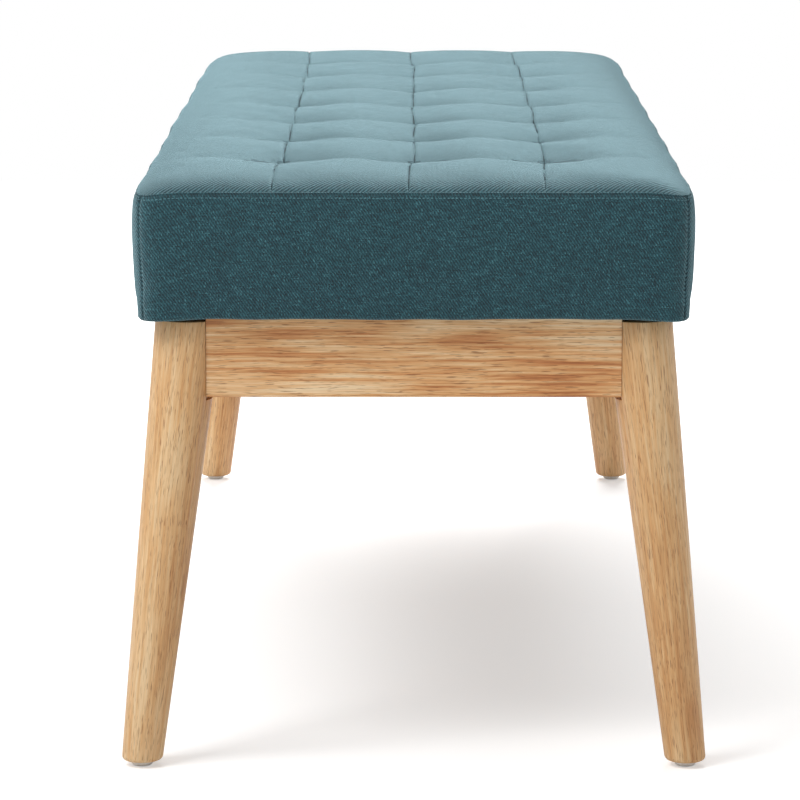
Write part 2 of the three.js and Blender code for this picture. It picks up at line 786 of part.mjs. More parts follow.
// An apron between two legs, along -Y, with its outer face towards +X.
function apronBody(shoulder, innerFace) {
  const length = 2 * (shoulder - fitGap);
  const bar = new THREE.ExtrudeGeometry(apronSection(), { depth: length, bevelEnabled: false });
  bar.rotateX(Math.PI / 2);
  return solid(bar.translate(innerFace, length / 2, apronTop - apronHeight));
}

// Sizes of the saw kerf that takes a bracket's lip
const kerfHalf = bracketThickness / 2 + fitGap;

function addEndAprons() {
  const kerf = block(
    [frameInnerX - overrun, frameInnerY - lipPlace - kerfHalf, apronTop - apronHeight - overrun],
    [frameInnerX + kerfDepth, frameInnerY - lipPlace + kerfHalf, apronTop + overrun],
  );
  const body = withCornerCuts(apronBody(shoulderY, frameInnerX), [kerf, intoEndApron(screwHole())]);
  addPiece(bench, "end_apron_right", geometryOf(body), rubberwood);
  addPiece(bench, "end_apron_left", geometryOf(body), rubberwood).rotation.z = Math.PI;
}

function addSideAprons() {
  const kerf = block(
    [frameInnerX - lipPlace - kerfHalf, frameInnerY - overrun, apronTop - apronHeight - overrun],
    [frameInnerX - lipPlace + kerfHalf, frameInnerY + kerfDepth, apronTop + overrun],
  );
  const bar = apronBody(shoulderX, frameInnerY).rotate([0, 0, 90]);
  let body = withCornerCuts(bar, [kerf, intoSideApron(screwHole())]);
  for (const k of [-1, 0, 1]) body = body.subtract(tenonSpace(k * outerRailX));
  addPiece(bench, "side_apron_back", geometryOf(body), rubberwood);
  addPiece(bench, "side_apron_front", geometryOf(body), rubberwood).rotation.z = Math.PI;
}

// A cross rail's own middle height, where its tenons are
const railMiddle = apronTop - railThickness / 2;

// The mortises for one rail's tenons, as one block across the bench
function tenonSpace(x) {
  const reach = frameInnerY + tenonLength + fitGap;
  const half = [tenonWidth / 2 + fitGap, reach, tenonThickness / 2 + fitGap];
  return solid(block(half.map((size) => -size), half)).translate(x, 0, railMiddle);
}

// Three rails lie flat between the side aprons. The outer two carry the seat bolts.
function addRails() {
  const half = [railWidth / 2, frameInnerY - fitGap, railThickness / 2];
  const tenonHalf = [tenonWidth / 2, frameInnerY + tenonLength, tenonThickness / 2];
  const blockOf = (size) => solid(block(size.map((s) => -s), size));
  const rail = blockOf(half).add(blockOf(tenonHalf)).translate(0, 0, railMiddle);
  const hole = solid(rod(seatBoltRadius + fitGap, railMiddle - overrun, railMiddle + overrun, hardwareSides));
  const drilled = rail
    .subtract(hole.translate(0, seatBoltSpacing / 2, 0))
    .subtract(hole.translate(0, -seatBoltSpacing / 2, 0));
  addPiece(bench, "cross_rail_middle", geometryOf(rail), rubberwood);
  addPiece(bench, "cross_rail_left", geometryOf(drilled), rubberwood).position.x = -outerRailX;
  addPiece(bench, "cross_rail_right", geometryOf(drilled), rubberwood).position.x = outerRailX;
}

// A socket-head bolt from under a rail up into its tee nut.
function seatBolt() {
  const seat = apronTop - railThickness - fitGap;
  const tip = boardTop - teeFlangeThickness;
  const profile = [
    [0, seat - seatBoltHeadHeight],
    [seatBoltHeadRadius - seatBoltHeadHeight / 2, seat - seatBoltHeadHeight],
    [seatBoltHeadRadius, seat - seatBoltHeadHeight / 2],
    [seatBoltHeadRadius, seat],
    [seatBoltRadius, seat],
    [seatBoltRadius, tip - seatBoltRadius / 2],
    [seatBoltRadius / 2, tip],
    [0, tip],
  ];
  const socketTop = seat - seatBoltHeadHeight + socketDepth;
  const socket = rod(socketRadius, seat - overrun, socketTop, twineSides);
  return geometryOf(solid(turned(profile, hardwareSides)).subtract(solid(socket)));
}

// A tee nut with its flange let into the board's upper face.
function teeNut() {
  const top = boardTop - fitGap;
  const under = top - teeFlangeThickness;
  const body = turned(
    [
      [0, top - teeBarrelLength],
      [teeBarrelRadius, top - teeBarrelLength],
      [teeBarrelRadius, under],
      [teeFlangeRadius, under],
      [teeFlangeRadius, top],
      [0, top],
    ],
    hardwareSides,
  );
  const bore = rod(seatBoltRadius + fitGap, boardBottom - overrun, boardTop + overrun, hardwareSides);
  return geometryOf(solid(body).subtract(solid(bore)));
}

function addSeatBolts() {
  const bolt = seatBolt();
  const nut = teeNut();
  for (const { x, y, name } of seatBoltPlaces) {
    addPiece(bench, "seat_bolt_" + name, bolt, zincSteel).position.set(x, y, 0);
    addPiece(bench, "tee_nut_" + name, nut, zincSteel).position.set(x, y, 0);
  }
}

addCover();
addFoam();
addBoard();
addDustCover();
addTwines();
addCorners();
addEndAprons();
addSideAprons();
addRails();
addSeatBolts();

export default bench;
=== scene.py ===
import json
import math

import bpy
import numpy as np
from mathutils import Matrix, Vector


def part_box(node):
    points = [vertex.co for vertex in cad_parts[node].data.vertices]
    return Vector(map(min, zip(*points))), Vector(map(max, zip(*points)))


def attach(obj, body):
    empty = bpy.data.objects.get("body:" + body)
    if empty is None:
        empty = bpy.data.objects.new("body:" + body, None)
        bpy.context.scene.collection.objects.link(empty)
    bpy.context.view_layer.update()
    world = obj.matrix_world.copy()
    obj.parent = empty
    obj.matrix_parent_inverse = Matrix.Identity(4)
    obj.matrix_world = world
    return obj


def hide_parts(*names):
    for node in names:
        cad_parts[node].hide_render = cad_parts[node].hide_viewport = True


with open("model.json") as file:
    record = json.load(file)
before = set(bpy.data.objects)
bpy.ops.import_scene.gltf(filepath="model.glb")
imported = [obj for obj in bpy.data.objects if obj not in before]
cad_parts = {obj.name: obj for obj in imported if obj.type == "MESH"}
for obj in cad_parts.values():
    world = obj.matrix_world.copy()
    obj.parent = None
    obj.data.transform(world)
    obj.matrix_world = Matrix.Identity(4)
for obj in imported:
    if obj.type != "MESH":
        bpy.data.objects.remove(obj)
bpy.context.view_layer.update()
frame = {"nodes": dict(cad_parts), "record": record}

scene = bpy.context.scene

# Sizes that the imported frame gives
cover_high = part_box("cover_top")[1]
panel_low, panel_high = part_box("cover_end_right")
leg_low, leg_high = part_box("leg_back_right")
seam_half = (cover_high.x, cover_high.y)
panel_swell = panel_high.x - seam_half[0]
cloth_thickness = 0.0018
fit_gap = 0.0003
seam_height = panel_high.z + cloth_thickness + fit_gap
hem_bottom = panel_low.z
hem_drop = seam_height - hem_bottom

# The cushion's top, between its seams
crown_rise = 0.0142  # before the cloth settles, which lifts the pillows by another 2 mm
edge_roll = (0.36, 0.105)  # in from the ends and the long sides, over which the top makes its slow rise
rim_roll = 0.0085  # in from the seam, over which it turns up at once, by the share below
rim_share = 0.78
tuft_rows = 7
tuft_columns = 3
tuft_pitch = (2 * seam_half[0] / (tuft_rows + 1), 2 * seam_half[1] / (tuft_columns + 1))
tuft_dip = 0.0040  # of the pinch at each tuft, past the valley's own depth
pinch_reach = (0.010, 0.024)
sag_dip = 0.0085  # of the broad sag from the crests down to the tufts
sag_width = 0.020  # along the bench, over which the sag fades to about a third
valley_dip = 0.0052  # along a valley midway between two tufts
valley_width = 0.015  # along the bench, over which a valley fades to about a third
valley_wave = (0.15, 0.2)  # share by which a valley's depth varies, and over how far
fade_power = 1.6  # with which the valleys fade out towards the long sides
crease_dip = 0.0026  # along a lengthwise seam, between two valleys
crease_power = 1.4
lump_rise = 0.00022  # of the filling's unevenness, in lumps of the width below
lump_width = 0.045

# The seams and tufts pressed into the top, and the painted shade round the tufts
seam_drift = 0.0042  # by which the lengthwise seams stray towards the front, past the outer tufts
seam_stray = 0.0009  # by which they stray between two tufts
stray_reach = 0.032  # on both sides of a seam, over which the cloth goes with it
groove_depth = 0.0020  # of the narrow groove in which a seam lies
groove_width = 0.0007
groove_start = 0.002  # in from the rim, over which a groove begins
tuft_shade_strength = 1.25  # painted shade at the middle of a tuft, where a seam's painted shade is 1
tuft_shade_reach = (0.0095, 0.024)

# The corners and the side panels
corner_radius = 0.014
corner_sag = 0.0022  # by which the top seam hangs lower at the corners, over so far along it
corner_reach = 0.020
side_width = 0.0030  # by which the seams of the long sides stand out past the solids' own
side_wave = 0.0012  # by which the valleys draw them in
side_stray = (0.0006, 0.3)  # height and length of their slow waves
side_reach = 0.05  # in from the long sides, over which the top goes with them
# How far out a panel stands, in shares of its swell, at shares of its height down from the top seam
side_shares = [(0, 0.06), (0.03, 0.50), (0.07, 0.63), (0.2, 0.67), (0.38, 0.67), (0.75, 0.38), (1, 0.2)]
end_swell = 0.88  # share of the swell that a panel keeps at its two ends
pucker_depth = 0.00035
pucker_width = 0.035
pucker_run = 0.045
hem_wave = (0.0004, 0.06)  # height and length of the hem's waves
hem_droop = (0.0018, 0.03)  # by which the hem hangs lower at the corners, and over how far along it
hem_radius = 0.003
turn_under = 0.030
flat_reach = 0.007  # inwards from the fold, over which the hem's waves die out

# The stitching
stitch_drop = 0.004  # of the topstitching below the top seam
stitch_pitch = 0.0032
stitch_share = 0.7  # of the pitch, from where a stitch comes up to where it goes down
stitch_length = 0.0024
stitch_width = 0.0007
# Lines pressed into the side panels, as how far down, how wide and how deep: the top seam's fold, the
# topstitching, the hem's edge, and the top seam's lip, which stands out
press_lines = (
    (0.0012, 0.0007, 0.0003), (stitch_drop, 0.001, 0.0003), (hem_drop - 0.003, 0.0007, 0.0006),
    (0.0003, 0.0003, -0.0004),
)
fold_painted_shade = 0.45  # painted shade along the top seam's fold, past what its depth gives
corner_groove = (0.0009, 0.0007)  # width and depth of the corner seams
full_shade_depth = 0.001  # depth of a pressed line that gets the full painted shade

# The cloth simulation
seam_hold = 0.2  # of the lengthwise seams, where a tuft is held by 1
rim_hold = 0.8
cloth_steps = 20
settle_cap = 0.006  # the farthest the cloth may move a point
settle_share = 0.5  # of its travel, which the firm filling lets it keep


def select_only(piece):
    """Makes one piece the only selected and active object."""
    bpy.ops.object.select_all(action="DESELECT")
    piece.select_set(True)
    bpy.context.view_layer.objects.active = piece


def give_finish(piece, finish):
    """Gives a piece one finish."""
    piece.data.materials.clear()
    piece.data.materials.append(finish)


def linear(hex_colour):
    """An sRGB colour such as "3f6b73" as linear red, green, blue and alpha."""
    channels = [int(hex_colour[k:k + 2], 16) / 255 for k in (0, 2, 4)]
    return [c / 12.92 if c <= 0.04045 else ((c + 0.055) / 1.055) ** 2.4 for c in channels] + [1]


# Materials


def new_material(name):
    """An empty material with its output, and the tree to fill."""
    material = bpy.data.materials.new(name)
    material.use_nodes = True
    material.node_tree.nodes.clear()
    return material, material.node_tree


def add_node(tree, kind, inputs=(), stops=(), **settings):
    """Adds a node. `inputs` pairs a socket's name or number with a value, an output or a node, which stands
    for its first output in use. `stops` are a colour ramp's, as pairs of a place and an sRGB colour."""
    node = tree.nodes.new("ShaderNode" + kind)
    for key, value in settings.items():
        setattr(node, key, value)
    for number, (place, colour) in enumerate(stops):
        if number >= len(node.color_ramp.elements):
            node.color_ramp.elements.new(place)
        node.color_ramp.elements[number].position = place
        node.color_ramp.elements[number].color = linear(colour)
    for socket, value in dict(inputs).items():
        if isinstance(value, bpy.types.Node):
            value = next(output for output in value.outputs if output.enabled)
        if isinstance(value, bpy.types.NodeSocket):
            tree.links.new(value, node.inputs[socket])
        else:
            node.inputs[socket].default_value = value
    return node


def upholstery_cloth(name, fuzz, relief):
    """Heathered polyester twill, woven 2 over 2: dull, with diagonal ribs and a pale fuzz at a low angle.
    `fuzz` is the fuzz's weight, and `relief` is how far the weave stands up."""
    # Spacings of the threads, which differ, so the ribs run more steeply than 45 degrees
    warp_spacing, weft_spacing = 0.00060, 0.00088
    material, tree = new_material(name)
    place = add_node(tree, "UVMap", uv_map="cloth")
    # The threads run a little unevenly.
    drift = add_node(tree, "TexNoise", {"Vector": place, "Scale": 60.0, "Detail": 2.0})
    drifted = add_node(
        tree, "VectorMath", {0: drift.outputs["Color"], "Scale": 0.0012}, operation="SCALE")
    place = add_node(tree, "VectorMath", {0: place, 1: drifted}, operation="ADD")
    counts = (1 / warp_spacing, 1 / weft_spacing, 1)
    scaled = add_node(tree, "VectorMath", {0: place, 1: counts}, operation="MULTIPLY")
    across, along = add_node(tree, "SeparateXYZ", {0: scaled}).outputs[:2]
    warp = add_node(tree, "Math", {0: across}, operation="FLOOR")
    weft = add_node(tree, "Math", {0: along}, operation="FLOOR")
    # Two over, two under, one thread further on in each row, so the ribs run diagonally.
    count = add_node(tree, "Math", {0: warp, 1: weft}, operation="ADD")
    step = add_node(tree, "Math", {0: count, 1: 4.0}, operation="FLOORED_MODULO")
    warp_over = add_node(tree, "Math", {0: step, 1: 1.5}, operation="LESS_THAN")
    # Each thread has its own tone, which changes slowly along it.
    tones = []
    for number, (own, run, rate) in enumerate(((weft, across, 0.07), (warp, along, 0.16))):
        apart = add_node(tree, "Math", {0: own, 1: 7.31}, operation="MULTIPLY")
        slow = add_node(tree, "Math", {0: run, 1: rate}, operation="MULTIPLY")
        spot = add_node(tree, "CombineXYZ", {0: apart, 1: slow, 2: 31.0 * number})
        tones.append(add_node(tree, "TexNoise", {"Vector": spot, "Scale": 1.0, "Detail": 2.0}))
    tone = add_node(tree, "Mix", {0: warp_over, 2: tones[0], 3: tones[1]}, data_type="FLOAT")
    # Height over one thread's width: round, and lower where it dips under.
    rounds = []
    for run in (along, across):
        share = add_node(tree, "Math", {0: run}, operation="FRACT")
        rounds.append(add_node(tree, "Math", {0: share, 1: 0.5}, operation="PINGPONG"))
    thread_height = add_node(tree, "Mix", {0: warp_over, 2: rounds[0], 3: rounds[1]}, data_type="FLOAT")
    diagonal = add_node(tree, "Math", {0: across, 1: along}, operation="ADD")
    turn = add_node(tree, "Math", {0: diagonal, 1: math.pi / 2}, operation="MULTIPLY")
    rib = add_node(tree, "Math", {0: turn}, operation="SINE")
    lift = add_node(tree, "Math", {0: rib, 1: 0.45, 2: thread_height}, operation="MULTIPLY_ADD")
    # A thread is thicker where it is paler.
    lift = add_node(tree, "Math", {0: tone, 1: 0.7, 2: lift}, operation="MULTIPLY_ADD")
    bump = add_node(tree, "Bump", {"Strength": 0.7, "Distance": relief, "Height": lift})
    colour = add_node(tree, "ValToRGB", {0: tone}, stops=[
        (0.30, "0a242b"), (0.45, "18404a"), (0.57, "245660"), (0.72, "4a818b"),
    ])
    # The low side of each rib and the edges of each thread are painted darker: painted shade in the weave's
    # hollows.
    valley = add_node(tree, "Math", {0: thread_height, 1: 0.55, 2: 0.72}, operation="MULTIPLY_ADD")
    painted_weave_shade = add_node(tree, "Math", {0: rib, 1: 0.36, 2: valley}, operation="MULTIPLY_ADD")
    # Painted shade darkens the colour along the seams, in the folds and round the tufts, and where the value
    # is below zero a painted highlight makes the top seam's rim and lip paler.
    painted_shading = add_node(tree, "Attribute", attribute_name="painted_shading").outputs["Fac"]
    light = add_node(tree, "Math", {0: painted_shading, 1: -0.55, 2: 1.0}, operation="MULTIPLY_ADD")
    shade = add_node(tree, "Math", {0: painted_weave_shade, 1: light}, operation="MULTIPLY")
    shaded = add_node(tree, "VectorMath", {0: colour, "Scale": shade}, operation="SCALE")
    shader = add_node(tree, "BsdfPrincipled", {
        "Base Color": shaded, "Roughness": 0.85, "IOR": 1.45, "Normal": bump,
        "Sheen Weight": fuzz, "Sheen Roughness": 0.45, "Sheen Tint": linear("c8f2fd"),
    })
    add_node(tree, "OutputMaterial", {"Surface": shader})
    return material


def rubberwood(name, along, shift, figure, tones):
    """Rubberwood, planed and sanded under a clear satin lacquer: straw with browner streaks and dark pores.
    `figure` is how strongly the streaks show, and `tones` run from the darkest streak to the palest."""
    material, tree = new_material("lacquered_rubberwood_" + name)
    place = add_node(tree, "TexCoord").outputs["Object"]
    turn = Vector(along).rotation_difference(Vector((1, 0, 0))).to_euler()
    turned = add_node(tree, "Mapping", {0: place, "Rotation": turn, "Location": shift})
    # The grain wanders by a millimetre or two.
    wander = add_node(tree, "TexNoise", {"Vector": turned, "Scale": 9.0, "Detail": 2.0})
    wandered = add_node(
        tree, "VectorMath", {0: wander.outputs["Color"], "Scale": 0.005}, operation="SCALE")
    grain = add_node(tree, "VectorMath", {0: turned, 1: wandered}, operation="ADD")
    # Features a metre along and across the grain. A pore is 0.3 mm wide, too fine to show in the render, so
    # it is drawn 0.7 mm wide.
    noises = {}
    for key, scale, detail, roughness in (
        ("zones", (6, 26, 26), 2.0, 0.5), ("streaks", (8, 340, 340), 4.0, 0.68),
        ("fibres", (25, 1300, 1300), 2.0, 0.6), ("pores", (80, 1500, 1500), 1.0, 0.5),
    ):
        stretched = add_node(tree, "VectorMath", {0: grain, 1: scale}, operation="MULTIPLY")
        noises[key] = add_node(tree, "TexNoise", {
            "Vector": stretched, "Scale": 1.0, "Detail": detail, "Roughness": roughness,
        })
    # Streaks and zones about their middle, summed
    zone_share = 0.75
    middle = 0.5 - 0.5 * figure * (1 + zone_share)
    streaked = add_node(
        tree, "Math", {0: noises["streaks"], 1: figure, 2: middle}, operation="MULTIPLY_ADD")
    toned = add_node(
        tree, "Math", {0: noises["zones"], 1: zone_share * figure, 2: streaked}, operation="MULTIPLY_ADD")
    body = add_node(tree, "ValToRGB", {0: toned}, stops=list(zip((0.26, 0.38, 0.48, 0.58, 0.72), tones)))
    fine = add_node(tree, "Math", {0: noises["fibres"], 1: 0.5, 2: 0.75}, operation="MULTIPLY_ADD")
    fibred = add_node(tree, "VectorMath", {0: body, "Scale": fine}, operation="SCALE")
    dot = add_node(tree, "MapRange", {0: noises["pores"], 1: 0.60, 2: 0.68, 3: 0.0, 4: 0.6})
    pored = add_node(tree, "Mix", {0: dot, 6: fibred, 7: linear("7a4318")}, data_type="RGBA")
    depth = add_node(tree, "Math", {0: dot, 1: -1.5, 2: noises["fibres"]}, operation="MULTIPLY_ADD")
    bump = add_node(tree, "Bump", {"Strength": 0.25, "Distance": 0.0002, "Height": depth})
    gloss = add_node(tree, "Math", {0: noises["zones"], 1: 0.2, 2: 0.32}, operation="MULTIPLY_ADD")
    shader = add_node(tree, "BsdfPrincipled", {
        "Base Color": pored, "Roughness": gloss, "IOR": 1.5, "Normal": bump,
    })
    add_node(tree, "OutputMaterial", {"Surface": shader})
    return material


def mottled(name, scale, low, high, roughness, depth, metallic=0.0):
    """A finish in two tones at so many mottles a metre, with a bump as deep as given. `roughness` is a
    pair, for the low tone and the high one."""
    material, tree = new_material(name)
    place = add_node(tree, "TexCoord").outputs["Object"]
    cloud = add_node(tree, "TexNoise", {"Vector": place, "Scale": scale, "Detail": 4.0})
    colour = add_node(tree, "ValToRGB", {0: cloud}, stops=[(0.35, low), (0.65, high)])
    gloss = add_node(tree, "MapRange", {0: cloud, 1: 0.35, 2: 0.65, 3: roughness[0], 4: roughness[1]})
    bump = add_node(tree, "Bump", {"Strength": 0.4, "Distance": depth, "Height": cloud})
    shader = add_node(tree, "BsdfPrincipled", {
        "Base Color": colour, "Roughness": gloss, "Metallic": metallic, "Normal": bump,
    })
    add_node(tree, "OutputMaterial", {"Surface": shader})
    return material


# Cushion


def near_crease(place, count, power):
    """One on a crease, falling to zero midway between two, and zero past half a pitch from the outer ones."""
    past = (place < -0.5) | (place > count - 0.5)
    return np.where(past, 0, 1 - np.abs(np.sin(np.pi * place)) ** power)


def ripples(u, v, wavelength, seed):
    """Smooth, seeded unevenness between about minus one and one, from a few crossing waves."""
    wave_count = 7
    draws = np.random.default_rng(seed)
    total = np.zeros_like(u)
    for _ in range(wave_count):
        angle, phase = draws.uniform(0, 2 * math.pi, 2)
        turns = 2 * math.pi / (wavelength * draws.uniform(0.7, 1.5))
        total += np.sin(turns * (u * math.cos(angle) + v * math.sin(angle)) + phase)
    return total / math.sqrt(wave_count)


def to_tuft(x, y):
    """Offsets along X and Y from a place to its nearest tuft."""
    row = np.clip(np.round((x + seam_half[0]) / tuft_pitch[0] - 1), 0, tuft_rows - 1)
    column = np.clip(np.round((y + seam_half[1]) / tuft_pitch[1] - 1), 0, tuft_columns - 1)
    return x + seam_half[0] - (row + 1) * tuft_pitch[0], y + seam_half[1] - (column + 1) * tuft_pitch[1]


def inside_rim(x, y):
    """Distances in from the seams at the ends and at the long sides."""
    return seam_half[0] - np.abs(x), seam_half[1] - np.abs(y)


def to_corner(x, y):
    """Distance from a place to its nearest corner."""
    return np.hypot(*inside_rim(x, y))


def seam_at(x, y):
    """Height of the top seam, which the corners draw down."""
    return seam_height - corner_sag * np.exp(-((to_corner(x, y) / corner_reach) ** 2))


def top_height(x, y):
    """Height of the tufted top: it rolls up from the seam, and dips at the tufts and between them."""
    end, side = inside_rim(x, y)
    lifts = []
    for inside, roll in zip((end, side), edge_roll):
        quick = 1 - np.exp(-inside / rim_roll)
        slow = np.sin(0.5 * math.pi * np.clip(inside / roll, 0, 1))
        lifts.append(rim_share * quick + (1 - rim_share) * slow)
    column = (y + seam_half[1]) / tuft_pitch[1] - 1
    dx, dy = to_tuft(x, y)
    valley = np.exp(-np.abs(dx) / valley_width)
    seam = near_crease(column, tuft_columns, crease_power)
    # Valleys fade out towards the long sides.
    fade = np.clip(np.minimum(column + 1, tuft_columns - column), 0, 1) ** fade_power
    pinch = tuft_dip * np.exp(-np.hypot(dx / pinch_reach[0], dy / pinch_reach[1]))
    # Between two tufts the valley rises in an arch.
    arch = np.cos(np.pi * np.clip(dy / tuft_pitch[1], -0.5, 0.5)) ** 2
    pinch = pinch + sag_dip * arch * np.exp(-np.abs(dx) / sag_width)
    dip = valley_dip * valley * fade * (1 + valley_wave[0] * ripples(x, y, valley_wave[1], 5))
    dip = dip + crease_dip * seam * (1 - valley) + pinch
    dip = dip - lump_rise * ripples(x, y, lump_width, 61)
    near = np.minimum(lifts[0], lifts[1])
    return seam_at(x, y) + crown_rise * lifts[0] * lifts[1] - dip * near ** 2


def grid_lines(half, pitch, count, steps, close):
    """Places of the grid's lines across the top: even, with closer ones on both sides of each seam."""
    lines = [-half + k * pitch / steps for k in range((count + 1) * steps + 1)]
    for seam in [-half + k * pitch for k in range(count + 2)]:
        lines += [seam + d for d in close] + [seam - d for d in close]
    return np.array(sorted(x for x in lines if abs(x) < half + 1e-9))


def on_outline(x, y):
    """A place of the full rectangle moved onto the one with round corners, and the way out from there."""
    core = (seam_half[0] - corner_radius, seam_half[1] - corner_radius)
    a = np.maximum(0, np.abs(x) - core[0]) / corner_radius
    b = np.maximum(0, np.abs(y) - core[1]) / corner_radius
    da = a * np.sqrt(1 - b * b / 2)
    db = b * np.sqrt(1 - a * a / 2)
    px = np.sign(x) * (np.minimum(np.abs(x), core[0]) + corner_radius * da)
    py = np.sign(y) * (np.minimum(np.abs(y), core[1]) + corner_radius * db)
    # The long sides stand a little wider, and are drawn in where the valleys reach them.
    row = (x + seam_half[0]) / tuft_pitch[0] - 1
    wave = side_width - side_wave * (0.5 + 0.5 * np.cos(2 * np.pi * row))
    wave = wave + side_stray[0] * ripples(x, y, side_stray[1], 3)
    py = py + np.sign(y) * wave * np.clip(1 - inside_rim(x, y)[1] / side_reach, 0, 1) ** 2
    length = np.maximum(np.hypot(da, db), 1e-9)
    return px, py, np.sign(x) * da / length, np.sign(y) * db / length


def rim_of(rows, columns):
    """Numbers of the grid's rim points, turning as the top's cells do."""
    rim = [i * columns for i in range(rows - 1)]
    rim += [(rows - 1) * columns + j for j in range(columns - 1)]
    rim += [i * columns + columns - 1 for i in range(rows - 1, 0, -1)]
    rim += [j for j in range(columns - 1, 0, -1)]
    return np.array(rim)


def side_ring(x, y, ways, base, down):
    """One ring of the side panels, so far down the cloth from the top seam. Past the hem it runs under."""
    share = np.where(np.abs(np.abs(y) - seam_half[1]) < 1e-9, x / seam_half[0], y / seam_half[1])
    belly = panel_swell * (end_swell + (1 - end_swell) * (1 - share * share))
    # The hem waves a little, and hangs lower at the corners.
    wave = hem_wave[0] * ripples(x, y, hem_wave[1], 21)
    bottom = hem_bottom + wave - hem_droop[0] * np.exp(-((to_corner(x, y) / hem_droop[1]) ** 2))
    if down <= hem_drop:
        swell = np.interp(down / hem_drop, [s[0] for s in side_shares], [s[1] for s in side_shares])
        # The top seam gathers the panel a little, and the puckers fade out below it.
        gather = pucker_depth * math.sin(math.pi * min(1, down / pucker_run))
        out = swell * belly + gather * ripples(x, y, pucker_width, 31)
        height = seam_at(x, y) - down * (seam_at(x, y) - bottom - hem_radius) / hem_drop
    elif down <= hem_drop + hem_radius * math.pi / 2:
        turn = (down - hem_drop) / hem_radius
        out = side_shares[-1][1] * belly - hem_radius * (1 - math.cos(turn))
        height = bottom + hem_radius * (1 - math.sin(turn))
    else:
        turned = down - hem_drop - hem_radius * math.pi / 2
        out = side_shares[-1][1] * belly - hem_radius - turned
        # Under the board the hem lies flat, clear of the dust cloth.
        height = bottom + (hem_bottom - bottom) * min(1, turned / flat_reach)
    return np.stack([base[0] + out * ways[0], base[1] + out * ways[1], height], -1)


def cushion_parts(xs, ys, downs):
    """Points of the top and of each side ring on one grid, with the rim's places."""
    gx, gy = np.meshgrid(xs, ys, indexing="ij")
    px, py, nx, ny = on_outline(gx, gy)
    top = np.stack([px, py, top_height(gx, gy)], -1)
    rim = rim_of(*gx.shape)
    x, y = gx.ravel()[rim], gy.ravel()[rim]
    ways = (nx.ravel()[rim], ny.ravel()[rim])
    base = (px.ravel()[rim], py.ravel()[rim])
    rings = np.array([side_ring(x, y, ways, base, down) for down in downs])
    return top, rings, rim, x, y, ways


def cushion_faces(shape, rim, ring_count):
    """Faces over the top, down the rings and across the open bottom."""
    rows, columns = shape
    faces = []
    for i in range(rows - 1):
        for j in range(columns - 1):
            corner = i * columns + j
            faces.append((corner, corner + columns, corner + columns + 1, corner + 1))
    upper, count = rim, len(rim)
    for ring in range(ring_count):
        lower = rows * columns + ring * count + np.arange(count)
        after = np.roll(np.arange(count), -1)
        faces += np.stack([upper, lower, lower[after], upper[after]], -1).tolist()
        upper = lower
    faces.append([int(k) for k in upper[::-1]])
    return faces


def point_outwards(piece):
    """Turns every face of a closed piece outwards."""
    select_only(piece)
    bpy.ops.object.mode_set(mode="EDIT")
    bpy.ops.mesh.select_all(action="SELECT")
    bpy.ops.mesh.normals_make_consistent(inside=False)
    bpy.ops.object.mode_set(mode="OBJECT")


def settled():
    """Runs the cover as cloth over its filling, held at its hem, its seams and its tufts.

    Returns the coarse grid's lines and how far the cloth moved each point of the top and of the rings.
    """
    spacing = 0.0066
    xs = grid_lines(seam_half[0], tuft_pitch[0], tuft_rows, round(tuft_pitch[0] / spacing), ())
    ys = grid_lines(seam_half[1], tuft_pitch[1], tuft_columns, round(tuft_pitch[1] / spacing), ())
    under = [hem_drop + hem_radius * math.pi / 2, hem_drop + turn_under]
    downs = np.concatenate([np.linspace(0, hem_drop, 16)[1:], under])
    top, rings, rim = cushion_parts(xs, ys, downs)[:3]
    points = np.concatenate([top.reshape(-1, 3), rings.reshape(-1, 3)])
    mesh = bpy.data.meshes.new("cover_trial")
    mesh.from_pydata(points.tolist(), [], cushion_faces(top.shape[:2], rim, len(rings)))
    trial = bpy.data.objects.new("cover_trial", mesh)
    scene.collection.objects.link(trial)
    point_outwards(trial)
    # How firmly each point is held: the tufts and the hem fully, the seams less
    gx, gy = np.meshgrid(xs, ys, indexing="ij")
    dx, dy = to_tuft(gx, gy)
    hold = seam_hold * (np.abs(dy) < 1e-6)
    hold = np.maximum(hold, 1.0 * (np.hypot(dx, dy) < 1e-6))
    hold = hold.ravel()
    hold[rim] = rim_hold
    side_hold = np.where(downs >= hem_drop - 1e-9, 1.0, 0.0)
    hold = np.concatenate([hold, np.repeat(side_hold, len(rim))])
    group = trial.vertex_groups.new(name="held")
    for weight in sorted(set(hold.tolist()) - {0}):
        group.add([int(k) for k in np.where(hold == weight)[0]], weight, "REPLACE")
    cloth = trial.modifiers.new("Cloth", "CLOTH")
    settings = cloth.settings
    settings.quality = 4
    settings.mass = 0.3
    settings.tension_stiffness = 12
    settings.compression_stiffness = 12
    settings.shear_stiffness = 6
    settings.bending_stiffness = 0.8
    settings.vertex_group_mass = "held"
    settings.use_pressure = True
    settings.uniform_pressure_force = 4
    settings.shrink_min = -0.004
    settings.effector_weights.gravity = 0
    cloth.collision_settings.use_collision = False
    for step in range(1, cloth_steps + 1):
        scene.frame_set(step)
    moved = np.empty(len(points) * 3, np.float32)
    trial.evaluated_get(bpy.context.evaluated_depsgraph_get()).data.vertices.foreach_get("co", moved)
    travel = moved.reshape(-1, 3).astype(float) - points
    length = np.linalg.norm(travel, axis=-1, keepdims=True)
    travel *= settle_share * np.minimum(1, settle_cap / np.maximum(length, 1e-9))
    bpy.data.objects.remove(trial)
    scene.frame_set(1)
    top_travel, side_travel = np.split(travel, [top.size // 3])
    return xs, ys, downs, top_travel.reshape(top.shape), side_travel.reshape(rings.shape)


def sampled(values, old, new, axis):
    """Values at new places along one axis, between those at the old ones."""
    return np.apply_along_axis(lambda line: np.interp(new, old, line), axis, values)


def rim_run(x, y):
    """Distance along the rim to each of its points."""
    return np.concatenate([[0], np.cumsum(np.hypot(np.diff(x), np.diff(y)))])


